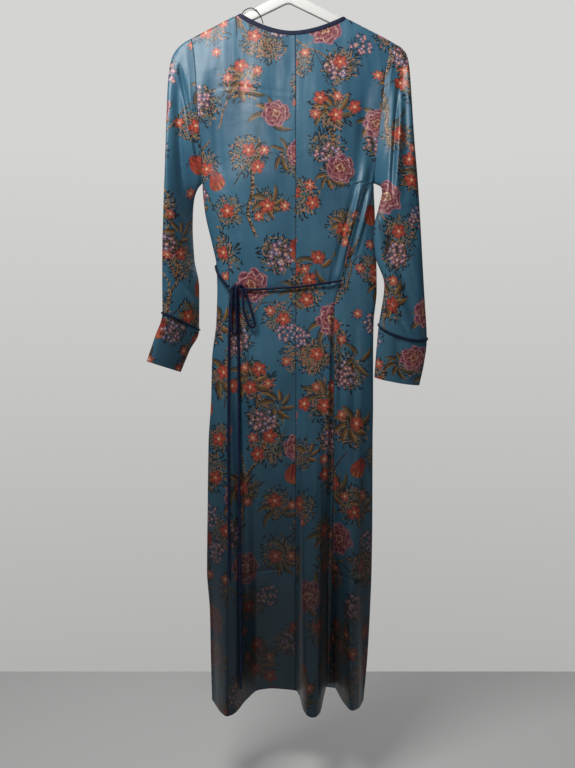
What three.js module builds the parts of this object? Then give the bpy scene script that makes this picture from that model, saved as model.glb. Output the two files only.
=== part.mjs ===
import * as THREE from 'three';

// A long kimono robe of printed satin, hanging on a white hanger. Sizes are in millimetres. The origin is the
// highest point inside the hanger's hook. The robe's back faces -Y and its fronts face +Y. Left and right
// are the wearer's, so left is -X.

// Driving dimensions
const CLOTH = 1.4; // thickness of every cloth wall
const SEAM = 0.3; // clear width of a seam between two pieces
const SHOULDER_PEAK = -75.8; // height where the two shoulder lines would meet over the middle
const SHOULDER_SLOPE = 0.52; // fall of the shoulder lines and of the hanger's arms
const SHOULDER_ROW = -176; // height of the sleeve's highest point
const UNDERARM_ROW = -456;
const WAIST_ROW = -640;
const HEM_ROW = -1463;
const CENTRE_BACK = 14; // the centre-back seam hangs a little off the hanger's middle
const NECK = { left: -104.5, right: 117.5, lowest: -170, leftRise: 39.9, rightRise: 33.1 };
const HANGER = { drop: 4.5, height: 24, half: 3.8, round: 2.6, endX: 199, endRadius: 8 };
const HOOK = { inner: 19, wire: 3.4 };
const TIE = 2.5; // radius of the thin tie
const LOOP = 0.9; // radius of the hanging loop's cord
const PIPING = { radius: 2, gap: 0.4 }; // the cuffs' piping and its clear gap to the cloth
const BINDING = { width: 7, gap: 0.5, proud: 0.4, behind: 0.1 }; // the flat navy binding of neck and fronts
const SHOULDER_TURN = 8; // radius with which the cloth turns over the hanger
const SHOULDER_FALL = 260; // height over which the rows pass from the shoulders' slope to level
const ARMHOLE = { top: 8, gain: 12, over: 0.5 }; // half its depth under the shoulder, and what it gains below
const SLEEVE_FULLNESS = 0.8; // the power that makes a sleeve's ring fuller than an ellipse
const SLEEVE_BLEND = 2.5; // rings over which the armhole's shape passes into the sleeve's
const UNDERLAP = { inset: 5, fromRow: -230, over: 130 }; // how far the inner front lies inside the outer one
const NECK_CORNER = 9; // width over which the shoulder's turn passes into the open neck
const HALF_RING = [0, 8, 18, 32, 47, 62, 77, 92, 107, 122, 137, 152, 166, 180]; // angles of a sleeve's points
const BODY_ROWS = 21; // rows of points from underarm to hem
const ROW_GROWTH = { even: 0.42, power: 1.35 }; // the rows lie closer together near the waist

// The body's section at each height: its left and right edges, how far the back and the front swell out,
// and how full the section is (1 is an ellipse, 2 a flatter lens).
const BODY_SECTIONS = [
  { row: -176, left: -190, right: 197, back: 9.5, front: 9, lens: 2 },
  { row: -197, left: -186, right: 196, back: 11, front: 11, lens: 2 },
  { row: -242, left: -181, right: 188, back: 15, front: 14, lens: 2 },
  { row: -307, left: -176.5, right: 181, back: 21, front: 20, lens: 1.9 },
  { row: -367, left: -171.5, right: 174, back: 26, front: 26, lens: 1.7 },
  { row: -416, left: -168.5, right: 169, back: 29, front: 29, lens: 1.35 },
  { row: -456, left: -168, right: 166, back: 30, front: 30, lens: 1 },
  { row: -511, left: -163, right: 168, back: 28, front: 29, lens: 1 },
  { row: -574, left: -149, right: 170.5, back: 25, front: 26, lens: 1 },
  { row: -613, left: -141, right: 171.5, back: 22, front: 23, lens: 1 },
  { row: -663, left: -139, right: 172, back: 20, front: 22, lens: 1 },
  { row: -728, left: -141, right: 166, back: 22, front: 26, lens: 1 },
  { row: -796, left: -149, right: 165, back: 25, front: 31, lens: 1 },
  { row: -878, left: -151, right: 165, back: 26, front: 35, lens: 1 },
  { row: -960, left: -156, right: 164, back: 25, front: 39, lens: 1 },
  { row: -1108, left: -158, right: 163.5, back: 23, front: 48, lens: 1 },
  { row: -1210, left: -159, right: 162, back: 19, front: 56, lens: 1 },
  { row: -1287, left: -153.5, right: 159, back: 14, front: 63, lens: 1 },
  { row: -1376, left: -151.5, right: 154, back: 9, front: 71, lens: 1 },
  { row: -1463, left: -149, right: 146, back: 5, front: 80, lens: 1 },
];

// Where the two side seams lie on the back, below the underarms
const SIDE_SEAMS = [
  { row: -456, left: -168, right: 166 },
  { row: -480, left: -156, right: 147 },
  { row: -549, left: -127, right: 124 },
  { row: -600, left: -117, right: 111 },
  { row: -650, left: -115, right: 101 },
  { row: -697, left: -115, right: 88 },
  { row: -1190, left: -115, right: 86 },
  { row: -1463, left: -114, right: 83 },
];

// The free edges of the two crossing fronts: from the neck to the waist, and on to the hem
const FRONT_EDGES = [
  { row: -176, left: -104.5, right: 117.5 },
  { row: -640, left: 118, right: -105 },
  { row: -1463, left: 100, right: -102 },
];

// The skirt's flutes at the hem: how far the cloth lies away from the camera's side at each place across
const HEM_FLUTES = [
  { across: -149, away: 0 },
  { across: -132, away: -38 },
  { across: -116, away: -50 },
  { across: -102, away: -42 },
  { across: -82, away: 2 },
  { across: -62, away: 34 },
  { across: -35, away: 40 },
  { across: -8, away: 36 },
  { across: 14, away: 34 },
  { across: 21, away: 18 },
  { across: 28, away: -36 },
  { across: 36, away: -50 },
  { across: 50, away: -50 },
  { across: 60, away: -38 },
  { across: 69, away: 4 },
  { across: 78, away: 44 },
  { across: 87, away: 44 },
  { across: 98, away: 14 },
  { across: 108, away: -18 },
  { across: 121, away: -42 },
  { across: 134, away: -38 },
  { across: 146, away: 0 },
];
const FLUTES_FROM = -760; // the flutes fade out at this height

// Single folds of the back: each runs from one place to another, with a half width and a depth
const BACK_FOLDS = [
  { name: 'valley below the bow', fromX: -104, fromRow: -690, toX: -90, toRow: -1290, half: 10, depth: 9 },
  { name: 'inner ridge at the right', fromX: 156, fromRow: -400, toX: 92, toRow: -668, half: 9, depth: -8 },
  { name: 'outer ridge at the right', fromX: 176, fromRow: -420, toX: 124, toRow: -600, half: 8, depth: -7 },
  { name: 'ridge along the right seam', fromX: 78, fromRow: -660, toX: 77, toRow: -1230, half: 9, depth: -9 },
  { name: 'right armhole hollow', fromX: 158, fromRow: -250, toX: 128, toRow: -480, half: 12, depth: 5 },
  { name: 'left armhole hollow', fromX: -150, fromRow: -250, toX: -128, toRow: -480, half: 12, depth: 5 },
];

// The sleeves' rings, from the armhole to the wrist: the outer and inner ends of each, how thick it is, and
// how far its near side sags. The cuff starts at the ring named by CUFF_AT.
const SLEEVE_LEFT = [
  { at: 0, outX: -190, outY: 0, outZ: -176, inX: -168, inY: 0, inZ: -456, half: 19, sag: 0 },
  { at: 1, outX: -205, outY: 0, outZ: -184.5, inX: -171, inY: 1, inZ: -458.5, half: 21, sag: 0 },
  { at: 2, outX: -218, outY: 0, outZ: -196, inX: -174, inY: 2, inZ: -461, half: 22, sag: 0 },
  { at: 3, outX: -226, outY: -1, outZ: -210, inX: -176.5, inY: 3, inZ: -464, half: 22, sag: 0 },
  { at: 4, outX: -231, outY: -3, outZ: -232, inX: -179, inY: 5, inZ: -468, half: 22, sag: 0 },
  { at: 5, outX: -234, outY: -8, outZ: -270, inX: -182, inY: 9, inZ: -473, half: 22, sag: 0 },
  { at: 6, outX: -235, outY: -15, outZ: -320, inX: -185, inY: 15, inZ: -480, half: 21, sag: 0 },
  { at: 7, outX: -235.5, outY: -25, outZ: -380, inX: -188, inY: 23, inZ: -492, half: 19, sag: 0 },
  { at: 8, outX: -235.5, outY: -34, outZ: -440, inX: -191, inY: 32, inZ: -512, half: 17, sag: 0 },
  { at: 9, outX: -236, outY: -38, outZ: -505, inX: -193, inY: 38, inZ: -548, half: 16, sag: 0 },
  { at: 10, outX: -237, outY: -38, outZ: -575, inX: -191, inY: 40, inZ: -597, half: 15, sag: 0 },
  { at: 11, outX: -238, outY: -36, outZ: -645, inX: -181, inY: 38, inZ: -655, half: 15, sag: 0 },
  { at: 12, outX: -239, outY: -33, outZ: -712, inX: -180, inY: 34, inZ: -738, half: 15, sag: 0 },
  { at: 13, outX: -253, outY: -32, outZ: -757, inX: -199, inY: 35, inZ: -779, half: 14, sag: 0 },
  { at: 14, outX: -269, outY: -31, outZ: -804, inX: -217, inY: 35, inZ: -822, half: 14, sag: 0 },
];
const SLEEVE_RIGHT = [
  { at: 0, outX: 197, outY: 0, outZ: -176, inX: 166, inY: 0, inZ: -456, half: 19, sag: 0 },
  { at: 1, outX: 209, outY: 0, outZ: -184, inX: 169.5, inY: -2, inZ: -457.5, half: 21, sag: 0 },
  { at: 2, outX: 221, outY: 0, outZ: -193, inX: 173, inY: -5, inZ: -459.5, half: 23, sag: 0 },
  { at: 3, outX: 230, outY: 0, outZ: -206, inX: 176, inY: -8, inZ: -462, half: 24, sag: 0 },
  { at: 4, outX: 234.5, outY: -1, outZ: -226, inX: 178.5, inY: -12, inZ: -465, half: 25, sag: 0 },
  { at: 5, outX: 237.5, outY: -2, outZ: -266, inX: 180, inY: -16, inZ: -470, half: 26, sag: 0 },
  { at: 6, outX: 240.5, outY: -4, outZ: -320, inX: 180, inY: -21, inZ: -478, half: 25, sag: 0 },
  { at: 7, outX: 244, outY: -8, outZ: -385, inX: 177, inY: -27, inZ: -492, half: 23, sag: 0 },
  { at: 8, outX: 248.5, outY: -12, outZ: -450, inX: 171, inY: -34, inZ: -515, half: 20, sag: 0 },
  { at: 9, outX: 252.5, outY: -16, outZ: -520, inX: 162, inY: -37, inZ: -556, half: 17, sag: 0 },
  { at: 10, outX: 256, outY: -18, outZ: -590, inX: 166, inY: -37, inZ: -605, half: 17, sag: 2 },
  { at: 11, outX: 260, outY: -18, outZ: -665, inX: 183, inY: -35, inZ: -660, half: 17, sag: 6 },
  { at: 12, outX: 266, outY: -16, outZ: -758, inX: 172, inY: -36, inZ: -736, half: 14, sag: 14 },
  { at: 13, outX: 261, outY: -15, outZ: -805, inX: 167, inY: -36, inZ: -787, half: 13, sag: 8 },
  { at: 14, outX: 252, outY: -14, outZ: -848, inX: 163.6, inY: -35, inZ: -834, half: 13, sag: 4 },
];
const CUFF_AT = 12;
const CUFF_END = 14;

// The sleeves' deepest folds: angle round the ring (0 is the outer end, 90 the near side) at both ends
const SLEEVE_FOLDS = {
  left: [{ from: 1, to: 8, startAngle: 62, endAngle: 96, half: 20, depth: 9 }],
  right: [
    { from: 1, to: 8.5, startAngle: 48, endAngle: 76, half: 20, depth: 11 },
    { from: 8.8, to: 12, startAngle: 128, endAngle: 72, half: 20, depth: 7 },
  ],
};

const KNOT = { x: -104, back: -15, z: -661, width: 20, height: 13, depth: 11, bevel: 2.5 };

const mix = (a, b, t) => a + (b - a) * t;
const clamp01 = (t) => Math.min(1, Math.max(0, t));
const smooth = (t) => clamp01(t) ** 2 * (3 - 2 * clamp01(t));
const bump = (t) => Math.exp(-t * t);
const radians = (degrees) => (degrees * Math.PI) / 180;
const ringTurns = [...HALF_RING, ...HALF_RING.slice(1, -1).reverse().map((a) => 360 - a)].map(radians);

// Reads one column of a table as a smooth curve through its rows, which never overshoots them.
function readTable(table, key, column, at) {
  const rising = table[table.length - 1][key] > table[0][key] ? 1 : -1;
  const last = table.length - 1;
  const place = at * rising;
  if (place <= table[0][key] * rising) return table[0][column];
  if (place >= table[last][key] * rising) return table[last][column];
  let i = 0;
  while (table[i + 1][key] * rising < place) i += 1;
  const slopeOf = (j) => (table[j + 1][column] - table[j][column]) / (table[j + 1][key] - table[j][key]);
  const tangentAt = (j) => {
    if (j === 0) return slopeOf(0);
    if (j === last) return slopeOf(last - 1);
    const before = slopeOf(j - 1);
    const after = slopeOf(j);
    return before * after <= 0 ? 0 : (2 * before * after) / (before + after);
  };
  const span = table[i + 1][key] - table[i][key];
  const t = (at - table[i][key]) / span;
  const startPart = (1 + 2 * t) * (1 - t) ** 2 * table[i][column] + t * (1 - t) ** 2 * span * tangentAt(i);
  const endPart = t * t * (3 - 2 * t) * table[i + 1][column] - t * t * (1 - t) * span * tangentAt(i + 1);
  return startPart + endPart;
}

// Reads one column of a table along straight lines between its rows.
function readStraight(table, key, column, at) {
  let i = 0;
  while (i < table.length - 2 && table[i + 1][key] > at) i += 1;
  const t = (at - table[i][key]) / (table[i + 1][key] - table[i][key]);
  return mix(table[i][column], table[i + 1][column], t);
}

function bodySection(row) {
  const read = (column) => readTable(BODY_SECTIONS, 'row', column, row);
  const left = read('left');
  const right = read('right');
  const middle = (left + right) / 2;
  const half = (right - left) / 2;
  return { middle, half, back: read('back'), front: read('front'), lens: read('lens') };
}

// The top line of the back or of the fronts: the shoulder lines, with the back neck's curve between them.
function topLine(x, onBack) {
  const shoulder = SHOULDER_PEAK - SHOULDER_SLOPE * Math.abs(x);
  if (x <= NECK.left || x >= NECK.right) return shoulder;
  if (!onBack) return SHOULDER_PEAK - SHOULDER_SLOPE * (x < 0 ? -NECK.left : NECK.right);
  const centre = (NECK.left + NECK.right) / 2;
  const u = (x - centre) / (NECK.right - centre);
  return NECK.lowest + (u < 0 ? NECK.leftRise : NECK.rightRise) * Math.abs(u) ** 1.8;
}

// Half the gap between back and front at the armhole: it opens below the shoulder and closes at the underarm.
function armholeDepth(row) {
  const s = clamp01((SHOULDER_ROW - row) / (SHOULDER_ROW - UNDERARM_ROW));
  return (ARMHOLE.top + ARMHOLE.gain * smooth(s / ARMHOLE.over)) * Math.sqrt(1 - s ** 4);
}

// The quarter round with which the cloth turns over the hanger. Inside the neck it has already turned.
function shoulderTurn(row, x, onBack) {
  const inNeck = Math.min(x - NECK.left, NECK.right - x) / NECK_CORNER;
  const turned = onBack ? SHOULDER_TURN * smooth(inNeck) : 0;
  const below = clamp01((SHOULDER_ROW - row + turned) / SHOULDER_TURN);
  return Math.sqrt(1 - (1 - below) ** 2);
}

// How far the back's folds move the cloth away from the camera's side at a place.
function backFolds(x, row) {
  const flute = clamp01((FLUTES_FROM - row) / (FLUTES_FROM - HEM_ROW)) ** 1.5;
  let away = flute * readTable(HEM_FLUTES, 'across', 'away', x);
  for (const fold of BACK_FOLDS) {
    const t = (row - fold.fromRow) / (fold.toRow - fold.fromRow);
    if (t <= 0 || t >= 1) continue;
    away += fold.depth * Math.sin(Math.PI * t) ** 0.8 * bump((x - mix(fold.fromX, fold.toX, t)) / fold.half);
  }
  return away;
}

// A point of the body's cloth. The angle goes round the section: 0 is the middle of the back, -90 degrees the
// left edge, 90 degrees the right edge, and past those comes the front. Inset moves the inner front inwards.
function bodyPoint(angle, row, inset = 0) {
  const section = bodySection(row);
  const facing = Math.cos(angle);
  const onBack = facing >= 0;
  const x = section.middle + section.half * Math.sin(angle);
  const fall = (1 - clamp01((SHOULDER_ROW - row) / SHOULDER_FALL)) ** 2;
  const edge = row > UNDERARM_ROW ? armholeDepth(row) : 0;
  const tucked = inset * smooth((UNDERLAP.fromRow - row) / UNDERLAP.over);
  const depth = onBack ? section.back : section.front - tucked;
  const swell = Math.abs(facing) ** section.lens;
  let y = (edge + (depth - edge) * swell) * shoulderTurn(row, x, onBack) + (SEAM / 2) * fall;
  if (onBack) y = -y + backFolds(x, row) * Math.min(1, 1.6 * facing);
  const z = row + fall * (topLine(x, onBack) - SHOULDER_ROW);
  return new THREE.Vector3(x, y, z);
}

// The outward normal of a smooth function of two parameters, from its differences.
function normalOf(point, u, v, du, dv) {
  const alongU = point(u + du, v).sub(point(u - du, v));
  const alongV = point(u, v + dv).sub(point(u, v - dv));
  return alongU.cross(alongV).normalize();
}

const sleeveRows = { left: SLEEVE_LEFT, right: SLEEVE_RIGHT };
const sideSign = { left: -1, right: 1 };

// A point of the sleeve's cloth: ring angle 0 is the outer end, 90 degrees the near side, 180 the inner end.
// The first ring is the armhole itself, and the next ones pass smoothly from it into flattened rings.
function sleevePoint(side, turn, at) {
  const read = (column) => readTable(sleeveRows[side], 'at', column, at);
  const sign = sideSign[side];
  const outer = new THREE.Vector3(read('outX'), read('outY'), read('outZ'));
  const inner = new THREE.Vector3(read('inX'), read('inY'), read('inZ'));
  const centre = outer.clone().add(inner).multiplyScalar(0.5);
  const reach = outer.clone().sub(inner).multiplyScalar(0.5);
  const along = new THREE.Vector3(sign * reach.z, 0, -sign * reach.x).normalize();
  const near = along.clone().cross(reach).normalize().multiplyScalar(sign);
  const sine = Math.sin(turn);
  let thick = read('half') * Math.sign(sine) * Math.abs(sine) ** SLEEVE_FULLNESS;
  for (const fold of SLEEVE_FOLDS[side]) {
    const t = (at - fold.from) / (fold.to - fold.from);
    if (t <= 0 || t >= 1 || sine <= 0) continue;
    const angle = radians(mix(fold.startAngle, fold.endAngle, t));
    thick -= fold.depth * Math.sin(Math.PI * t) ** 0.7 * bump((turn - angle) / radians(fold.half));
  }
  const ring = centre.addScaledVector(reach, Math.cos(turn)).addScaledVector(near, thick);
  ring.z -= read('sag') * sine;
  const leaving = 1 - smooth(at / SLEEVE_BLEND);
  return leaving > 0 ? ring.addScaledVector(holeShift(side, turn), leaving) : ring;
}

// How far the armhole's own edge lies from the flattened ring that starts the sleeve.
function holeShift(side, turn) {
  const start = sleeveRows[side][0];
  const sign = sideSign[side];
  const hole = bodyPoint((sign * Math.PI) / 2, armholeRow(turn));
  const sine = Math.sin(turn);
  hole.y = Math.abs(sine) < 1e-6 ? 0 : -Math.sign(sine) * Math.abs(hole.y);
  const reach = new THREE.Vector3(start.outX - start.inX, 0, start.outZ - start.inZ).multiplyScalar(0.5);
  const centre = new THREE.Vector3(start.outX + start.inX, 0, start.outZ + start.inZ).multiplyScalar(0.5);
  const ring = centre.addScaledVector(reach, Math.cos(turn));
  ring.y = -start.half * Math.sign(sine) * Math.abs(sine) ** SLEEVE_FULLNESS;
  return hole.sub(ring);
}

function sleeveNormal(side, turn, at) {
  const du = 0.05;
  const dv = 0.02;
  const v = Math.max(dv, Math.min(CUFF_END - dv, at));
  return normalOf((a, b) => sleevePoint(side, a, b), turn, v, du, dv).multiplyScalar(sideSign[side]);
}

// The normal of the body's cloth. At the armhole it is the sleeve's own, and along the shoulder seam it is
// square to the shoulder line, so that the walls meet side by side.
function bodyNormal(angle, row, inset) {
  const atArmhole = row >= UNDERARM_ROW && Math.abs(Math.abs(angle) - Math.PI / 2) < 0.02;
  if (atArmhole) {
    const turn = Math.acos(clamp01((row - UNDERARM_ROW) / (SHOULDER_ROW - UNDERARM_ROW)) * 2 - 1);
    const onBack = Math.abs(angle) < Math.PI / 2;
    return sleeveNormal(angle < 0 ? 'left' : 'right', onBack ? turn : -turn, 0);
  }
  const v = Math.min(row, SHOULDER_ROW - 1);
  const normal = normalOf((a, b) => bodyPoint(a, b, inset), angle, v, 0.01, 1);
  const point = bodyPoint(angle, v, inset);
  if (row < SHOULDER_ROW - 0.5) return normal;
  const square = new THREE.Vector3(SHOULDER_SLOPE * Math.sign(point.x), 0, 1).normalize();
  const inNeck = Math.min(point.x - NECK.left, NECK.right - point.x) / NECK_CORNER;
  return square.lerp(normal, smooth(inNeck)).normalize();
}

// Rows of points: bunched towards the shoulder and the underarm above, growing downwards below.
const armholeRow = (turn) => mix(UNDERARM_ROW, SHOULDER_ROW, (1 + Math.cos(turn)) / 2);
const armholeRows = HALF_RING.map((angle) => armholeRow(radians(angle)));
const skirtRows = Array.from({ length: BODY_ROWS }, (_, i) => {
  const t = (i + 1) / BODY_ROWS;
  return mix(UNDERARM_ROW, HEM_ROW, ROW_GROWTH.even * t + (1 - ROW_GROWTH.even) * t ** ROW_GROWTH.power);
});
const bodyRows = [...armholeRows, ...skirtRows];

// The angle at which a given place across lies, on the back or on the fronts.
function angleAt(x, row, onFront = 0) {
  const section = bodySection(row);
  const a = Math.asin(Math.max(-1, Math.min(1, (x - section.middle) / section.half)));
  return onFront === 0 ? a : onFront * Math.PI - a;
}

// The side seam's angle: it follows the armhole above the underarm and lies on the back below it.
function seamAngle(side, row) {
  const edge = (sideSign[side] * Math.PI) / 2;
  return row >= UNDERARM_ROW ? edge : angleAt(readTable(SIDE_SEAMS, 'row', side, row), row);
}

// Half a seam's width as an angle, so that two panels stay a seam apart.
function seamStep(angle, row) {
  if (row > UNDERARM_ROW + 0.01) return 0;
  const away = bodyPoint(angle + 0.01, row).distanceTo(bodyPoint(angle - 0.01, row)) / 0.02;
  return SEAM / 2 / away;
}

// A closed wall from a grid of outer points and the same grid moved in by the cloth's thickness.
function wallGeometry(outer, inner, closedRound = false) {
  const rows = outer.length;
  const columns = outer[0].length;
  const positions = [];
  for (const line of [...outer, ...inner]) for (const p of line) positions.push(p.x, p.y, p.z);
  const index = (layer, i, j) => layer * rows * columns + i * columns + (j % columns);
  const faces = [];
  const quad = (a, b, c, d) => faces.push(a, b, c, a, c, d);
  const across = closedRound ? columns : columns - 1;
  for (let i = 0; i < rows - 1; i += 1) {
    for (let j = 0; j < across; j += 1) {
      quad(index(0, i, j), index(0, i, j + 1), index(0, i + 1, j + 1), index(0, i + 1, j));
      quad(index(1, i, j), index(1, i + 1, j), index(1, i + 1, j + 1), index(1, i, j + 1));
    }
    if (closedRound) continue;
    quad(index(0, i, 0), index(0, i + 1, 0), index(1, i + 1, 0), index(1, i, 0));
    const j = columns - 1;
    quad(index(0, i + 1, j), index(0, i, j), index(1, i, j), index(1, i + 1, j));
  }
  for (let j = 0; j < across; j += 1) {
    quad(index(0, 0, j + 1), index(0, 0, j), index(1, 0, j), index(1, 0, j + 1));
    const i = rows - 1;
    quad(index(0, i, j), index(0, i, j + 1), index(1, i, j + 1), index(1, i, j));
  }
  return closedGeometry(positions, faces);
}

// Makes an indexed geometry whose faces point outwards.
function closedGeometry(positions, faces) {
  const at = (i) => new THREE.Vector3(positions[3 * i], positions[3 * i + 1], positions[3 * i + 2]);
  let volume = 0;
  for (let i = 0; i < faces.length; i += 3) {
    volume += at(faces[i]).dot(at(faces[i + 1]).cross(at(faces[i + 2])));
  }
  const geometry = new THREE.BufferGeometry();
  geometry.setAttribute('position', new THREE.Float32BufferAttribute(positions, 3));
  geometry.setIndex(volume < 0 ? faces.slice().reverse() : faces);
  geometry.computeVertexNormals();
  return geometry;
}

const moved = (point, normal, by) => point.clone().addScaledVector(normal, by);

// Cloth panels of the body. Columns are shares of the way from the side seam to the panel's other edge.
const BACK_LEFT_COLUMNS = [0, 0.12, 0.24, 0.36, 0.48, 0.603, 0.635, 0.72, 0.81, 0.9, 1];
const BACK_RIGHT_COLUMNS = [0, 0.11, 0.22, 0.33, 0.44, 0.53, 0.62, 0.652, 0.73, 0.82, 0.91, 1];
const FRONT_COLUMNS = [0, 0.047, 0.094, 0.141, 0.188, 0.235, 0.283, 0.385, 0.49, 0.59, 0.69, 0.79, 0.895, 1];

const EDGE_ON = 1e-4; // keeps the back's edge on the back and the front's on the front
function backEnd(side, row) {
  return angleAt(CENTRE_BACK, row) + sideSign[side] * seamStep(angleAt(CENTRE_BACK, row), UNDERARM_ROW);
}

function backStart(side, row) {
  const angle = seamAngle(side, row);
  return angle - sideSign[side] * (seamStep(angle, row) + EDGE_ON);
}

function frontStart(side, row) {
  const angle = seamAngle(side, row);
  return angle + sideSign[side] * (seamStep(angle, row) + EDGE_ON);
}

function frontEnd(side, row) {
  return angleAt(readStraight(FRONT_EDGES, 'row', side, row), row, sideSign[side]);
}

function panelGrids(side, startOf, endOf, columns, inset) {
  const outer = [];
  const inner = [];
  const normals = [];
  for (const row of bodyRows) {
    const angles = columns.map((share) => mix(startOf(side, row), endOf(side, row), share));
    const points = angles.map((angle) => bodyPoint(angle, row, inset));
    const outward = angles.map((angle) => bodyNormal(angle, row, inset));
    outer.push(points);
    normals.push(outward);
    inner.push(points.map((point, j) => moved(point, outward[j], -CLOTH)));
  }
  return { outer, inner, normals };
}

const panels = {
  back_left: panelGrids('left', backStart, backEnd, BACK_LEFT_COLUMNS, 0),
  back_right: panelGrids('right', backStart, backEnd, BACK_RIGHT_COLUMNS, 0),
  front_left: panelGrids('left', frontStart, frontEnd, FRONT_COLUMNS, UNDERLAP.inset),
  front_right: panelGrids('right', frontStart, frontEnd, FRONT_COLUMNS, 0),
};

// The direction along the sleeve's cloth towards the wrist, square to its ring.
function sleeveOnward(side, turn, at) {
  const start = Math.max(0, at - 0.05);
  const onward = sleevePoint(side, turn, start + 0.1).sub(sleevePoint(side, turn, start));
  const round = sleevePoint(side, turn + 0.03, at).sub(sleevePoint(side, turn - 0.03, at)).normalize();
  return onward.addScaledVector(round, -onward.dot(round)).normalize();
}

// A stretch of sleeve or cuff between two places along it, as a tube with open ends.
function sleeveTube(side, stations) {
  const outer = [];
  const inner = [];
  for (const station of stations) {
    const points = [];
    const insides = [];
    for (const turn of ringTurns) {
      const normal = sleeveNormal(side, turn, station.at);
      const onward = sleeveOnward(side, turn, station.at);
      const point = moved(sleevePoint(side, turn, station.at), onward, station.clear);
      points.push(point);
      insides.push(moved(point, normal, -CLOTH));
    }
    outer.push(points);
    inner.push(insides);
  }
  return { outer, inner };
}

const sleeveStations = [{ at: 0, clear: SEAM + 0.1 }];
for (let at = 1; at < CUFF_AT; at += 1) sleeveStations.push({ at, clear: 0 });
sleeveStations.push({ at: CUFF_AT, clear: -SEAM / 2 });
const cuffStations = [
  { at: CUFF_AT, clear: SEAM / 2 },
  { at: CUFF_AT + 0.7, clear: 0 },
  { at: CUFF_AT + 1.4, clear: 0 },
  { at: CUFF_END, clear: 0 },
];

// A closed ring or an open strip of one small section carried along points with their own frames.
function sweepGeometry(stations, section, closedRound) {
  const rows = stations.length;
  const sides = section.length;
  const positions = [];
  for (const station of stations) {
    for (const [out, up] of section) {
      const p = station.point.clone().addScaledVector(station.out, out).addScaledVector(station.up, up);
      positions.push(p.x, p.y, p.z);
    }
  }
  const faces = [];
  const steps = closedRound ? rows : rows - 1;
  for (let i = 0; i < steps; i += 1) {
    for (let j = 0; j < sides; j += 1) {
      const a = i * sides + j;
      const b = i * sides + ((j + 1) % sides);
      const c = ((i + 1) % rows) * sides + ((j + 1) % sides);
      const d = ((i + 1) % rows) * sides + j;
      faces.push(a, b, c, a, c, d);
    }
  }
  if (!closedRound) {
    const end = (rows - 1) * sides;
    for (let j = 1; j < sides - 1; j += 1) {
      faces.push(0, j + 1, j);
      faces.push(end, end + j, end + j + 1);
    }
  }
  return closedGeometry(positions, faces);
}

function roundSection(radius, sides) {
  return Array.from({ length: sides }, (_, i) => {
    const a = ((i + 0.5) * 2 * Math.PI) / sides;
    return [radius * Math.cos(a), radius * Math.sin(a)];
  });
}

// The piping lies on the seam between sleeve and cuff.
function pipingGeometry(side) {
  const stations = [];
  for (const turn of ringTurns) {
    const up = sleeveNormal(side, turn, CUFF_AT);
    const point = moved(sleevePoint(side, turn, CUFF_AT), up, PIPING.radius + PIPING.gap);
    stations.push({ point, out: sleeveOnward(side, turn, CUFF_AT), up });
  }
  return sweepGeometry(stations, roundSection(PIPING.radius, 6), true);
}

// The binding runs up the overlap's edge, round the back of the neck and down the underlap's edge.
function bindingGeometry() {
  const waist = bodyRows.findIndex((row) => row < WAIST_ROW);
  const edge = [];
  const last = FRONT_COLUMNS.length - 1;
  for (let i = waist; i > 0; i -= 1) {
    edge.push({ point: panels.front_right.outer[i][last], up: panels.front_right.normals[i][last] });
  }
  const backTop = (name, columns, corner) => columns.map((share, j) => ({
    share, point: panels[name].outer[0][j], up: panels[name].normals[0][j],
  })).filter((item) => item.share >= corner);
  edge.push(...backTop('back_right', BACK_RIGHT_COLUMNS, 0.62));
  const left = backTop('back_left', BACK_LEFT_COLUMNS, 0.603).reverse().slice(1);
  edge.push(...left);
  for (let i = 1; i <= waist; i += 1) {
    edge.push({ point: panels.front_left.outer[i][last], up: panels.front_left.normals[i][last] });
  }
  const stations = edge.map((item, i) => {
    const before = edge[Math.max(0, i - 1)].point;
    const after = edge[Math.min(edge.length - 1, i + 1)].point;
    const along = after.clone().sub(before).normalize();
    const out = along.clone().cross(item.up).normalize();
    return { point: item.point, out, up: out.clone().cross(along).normalize() };
  });
  const low = -CLOTH - BINDING.behind;
  const high = BINDING.proud;
  const near = BINDING.gap;
  const far = BINDING.gap + BINDING.width;
  return sweepGeometry(stations, [[near, low], [near, high], [far, high], [far, low]], false);
}

function circleShape(radius, sides) {
  const shape = new THREE.Shape();
  for (let i = 0; i < sides; i += 1) {
    const a = ((i + 0.5) * 2 * Math.PI) / sides;
    if (i === 0) shape.moveTo(radius * Math.cos(a), radius * Math.sin(a));
    else shape.lineTo(radius * Math.cos(a), radius * Math.sin(a));
  }
  shape.closePath();
  return shape;
}

// A round cord along a smooth curve through points.
function cordGeometry(points, radius, step, sides = 8) {
  const curve = new THREE.CatmullRomCurve3(points.map((p) => new THREE.Vector3(...p)), false, 'centripetal');
  const steps = Math.max(4, Math.round(curve.getLength() / step));
  const options = { steps, extrudePath: curve, bevelEnabled: false };
  return new THREE.ExtrudeGeometry(circleShape(radius, sides), options);
}

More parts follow.
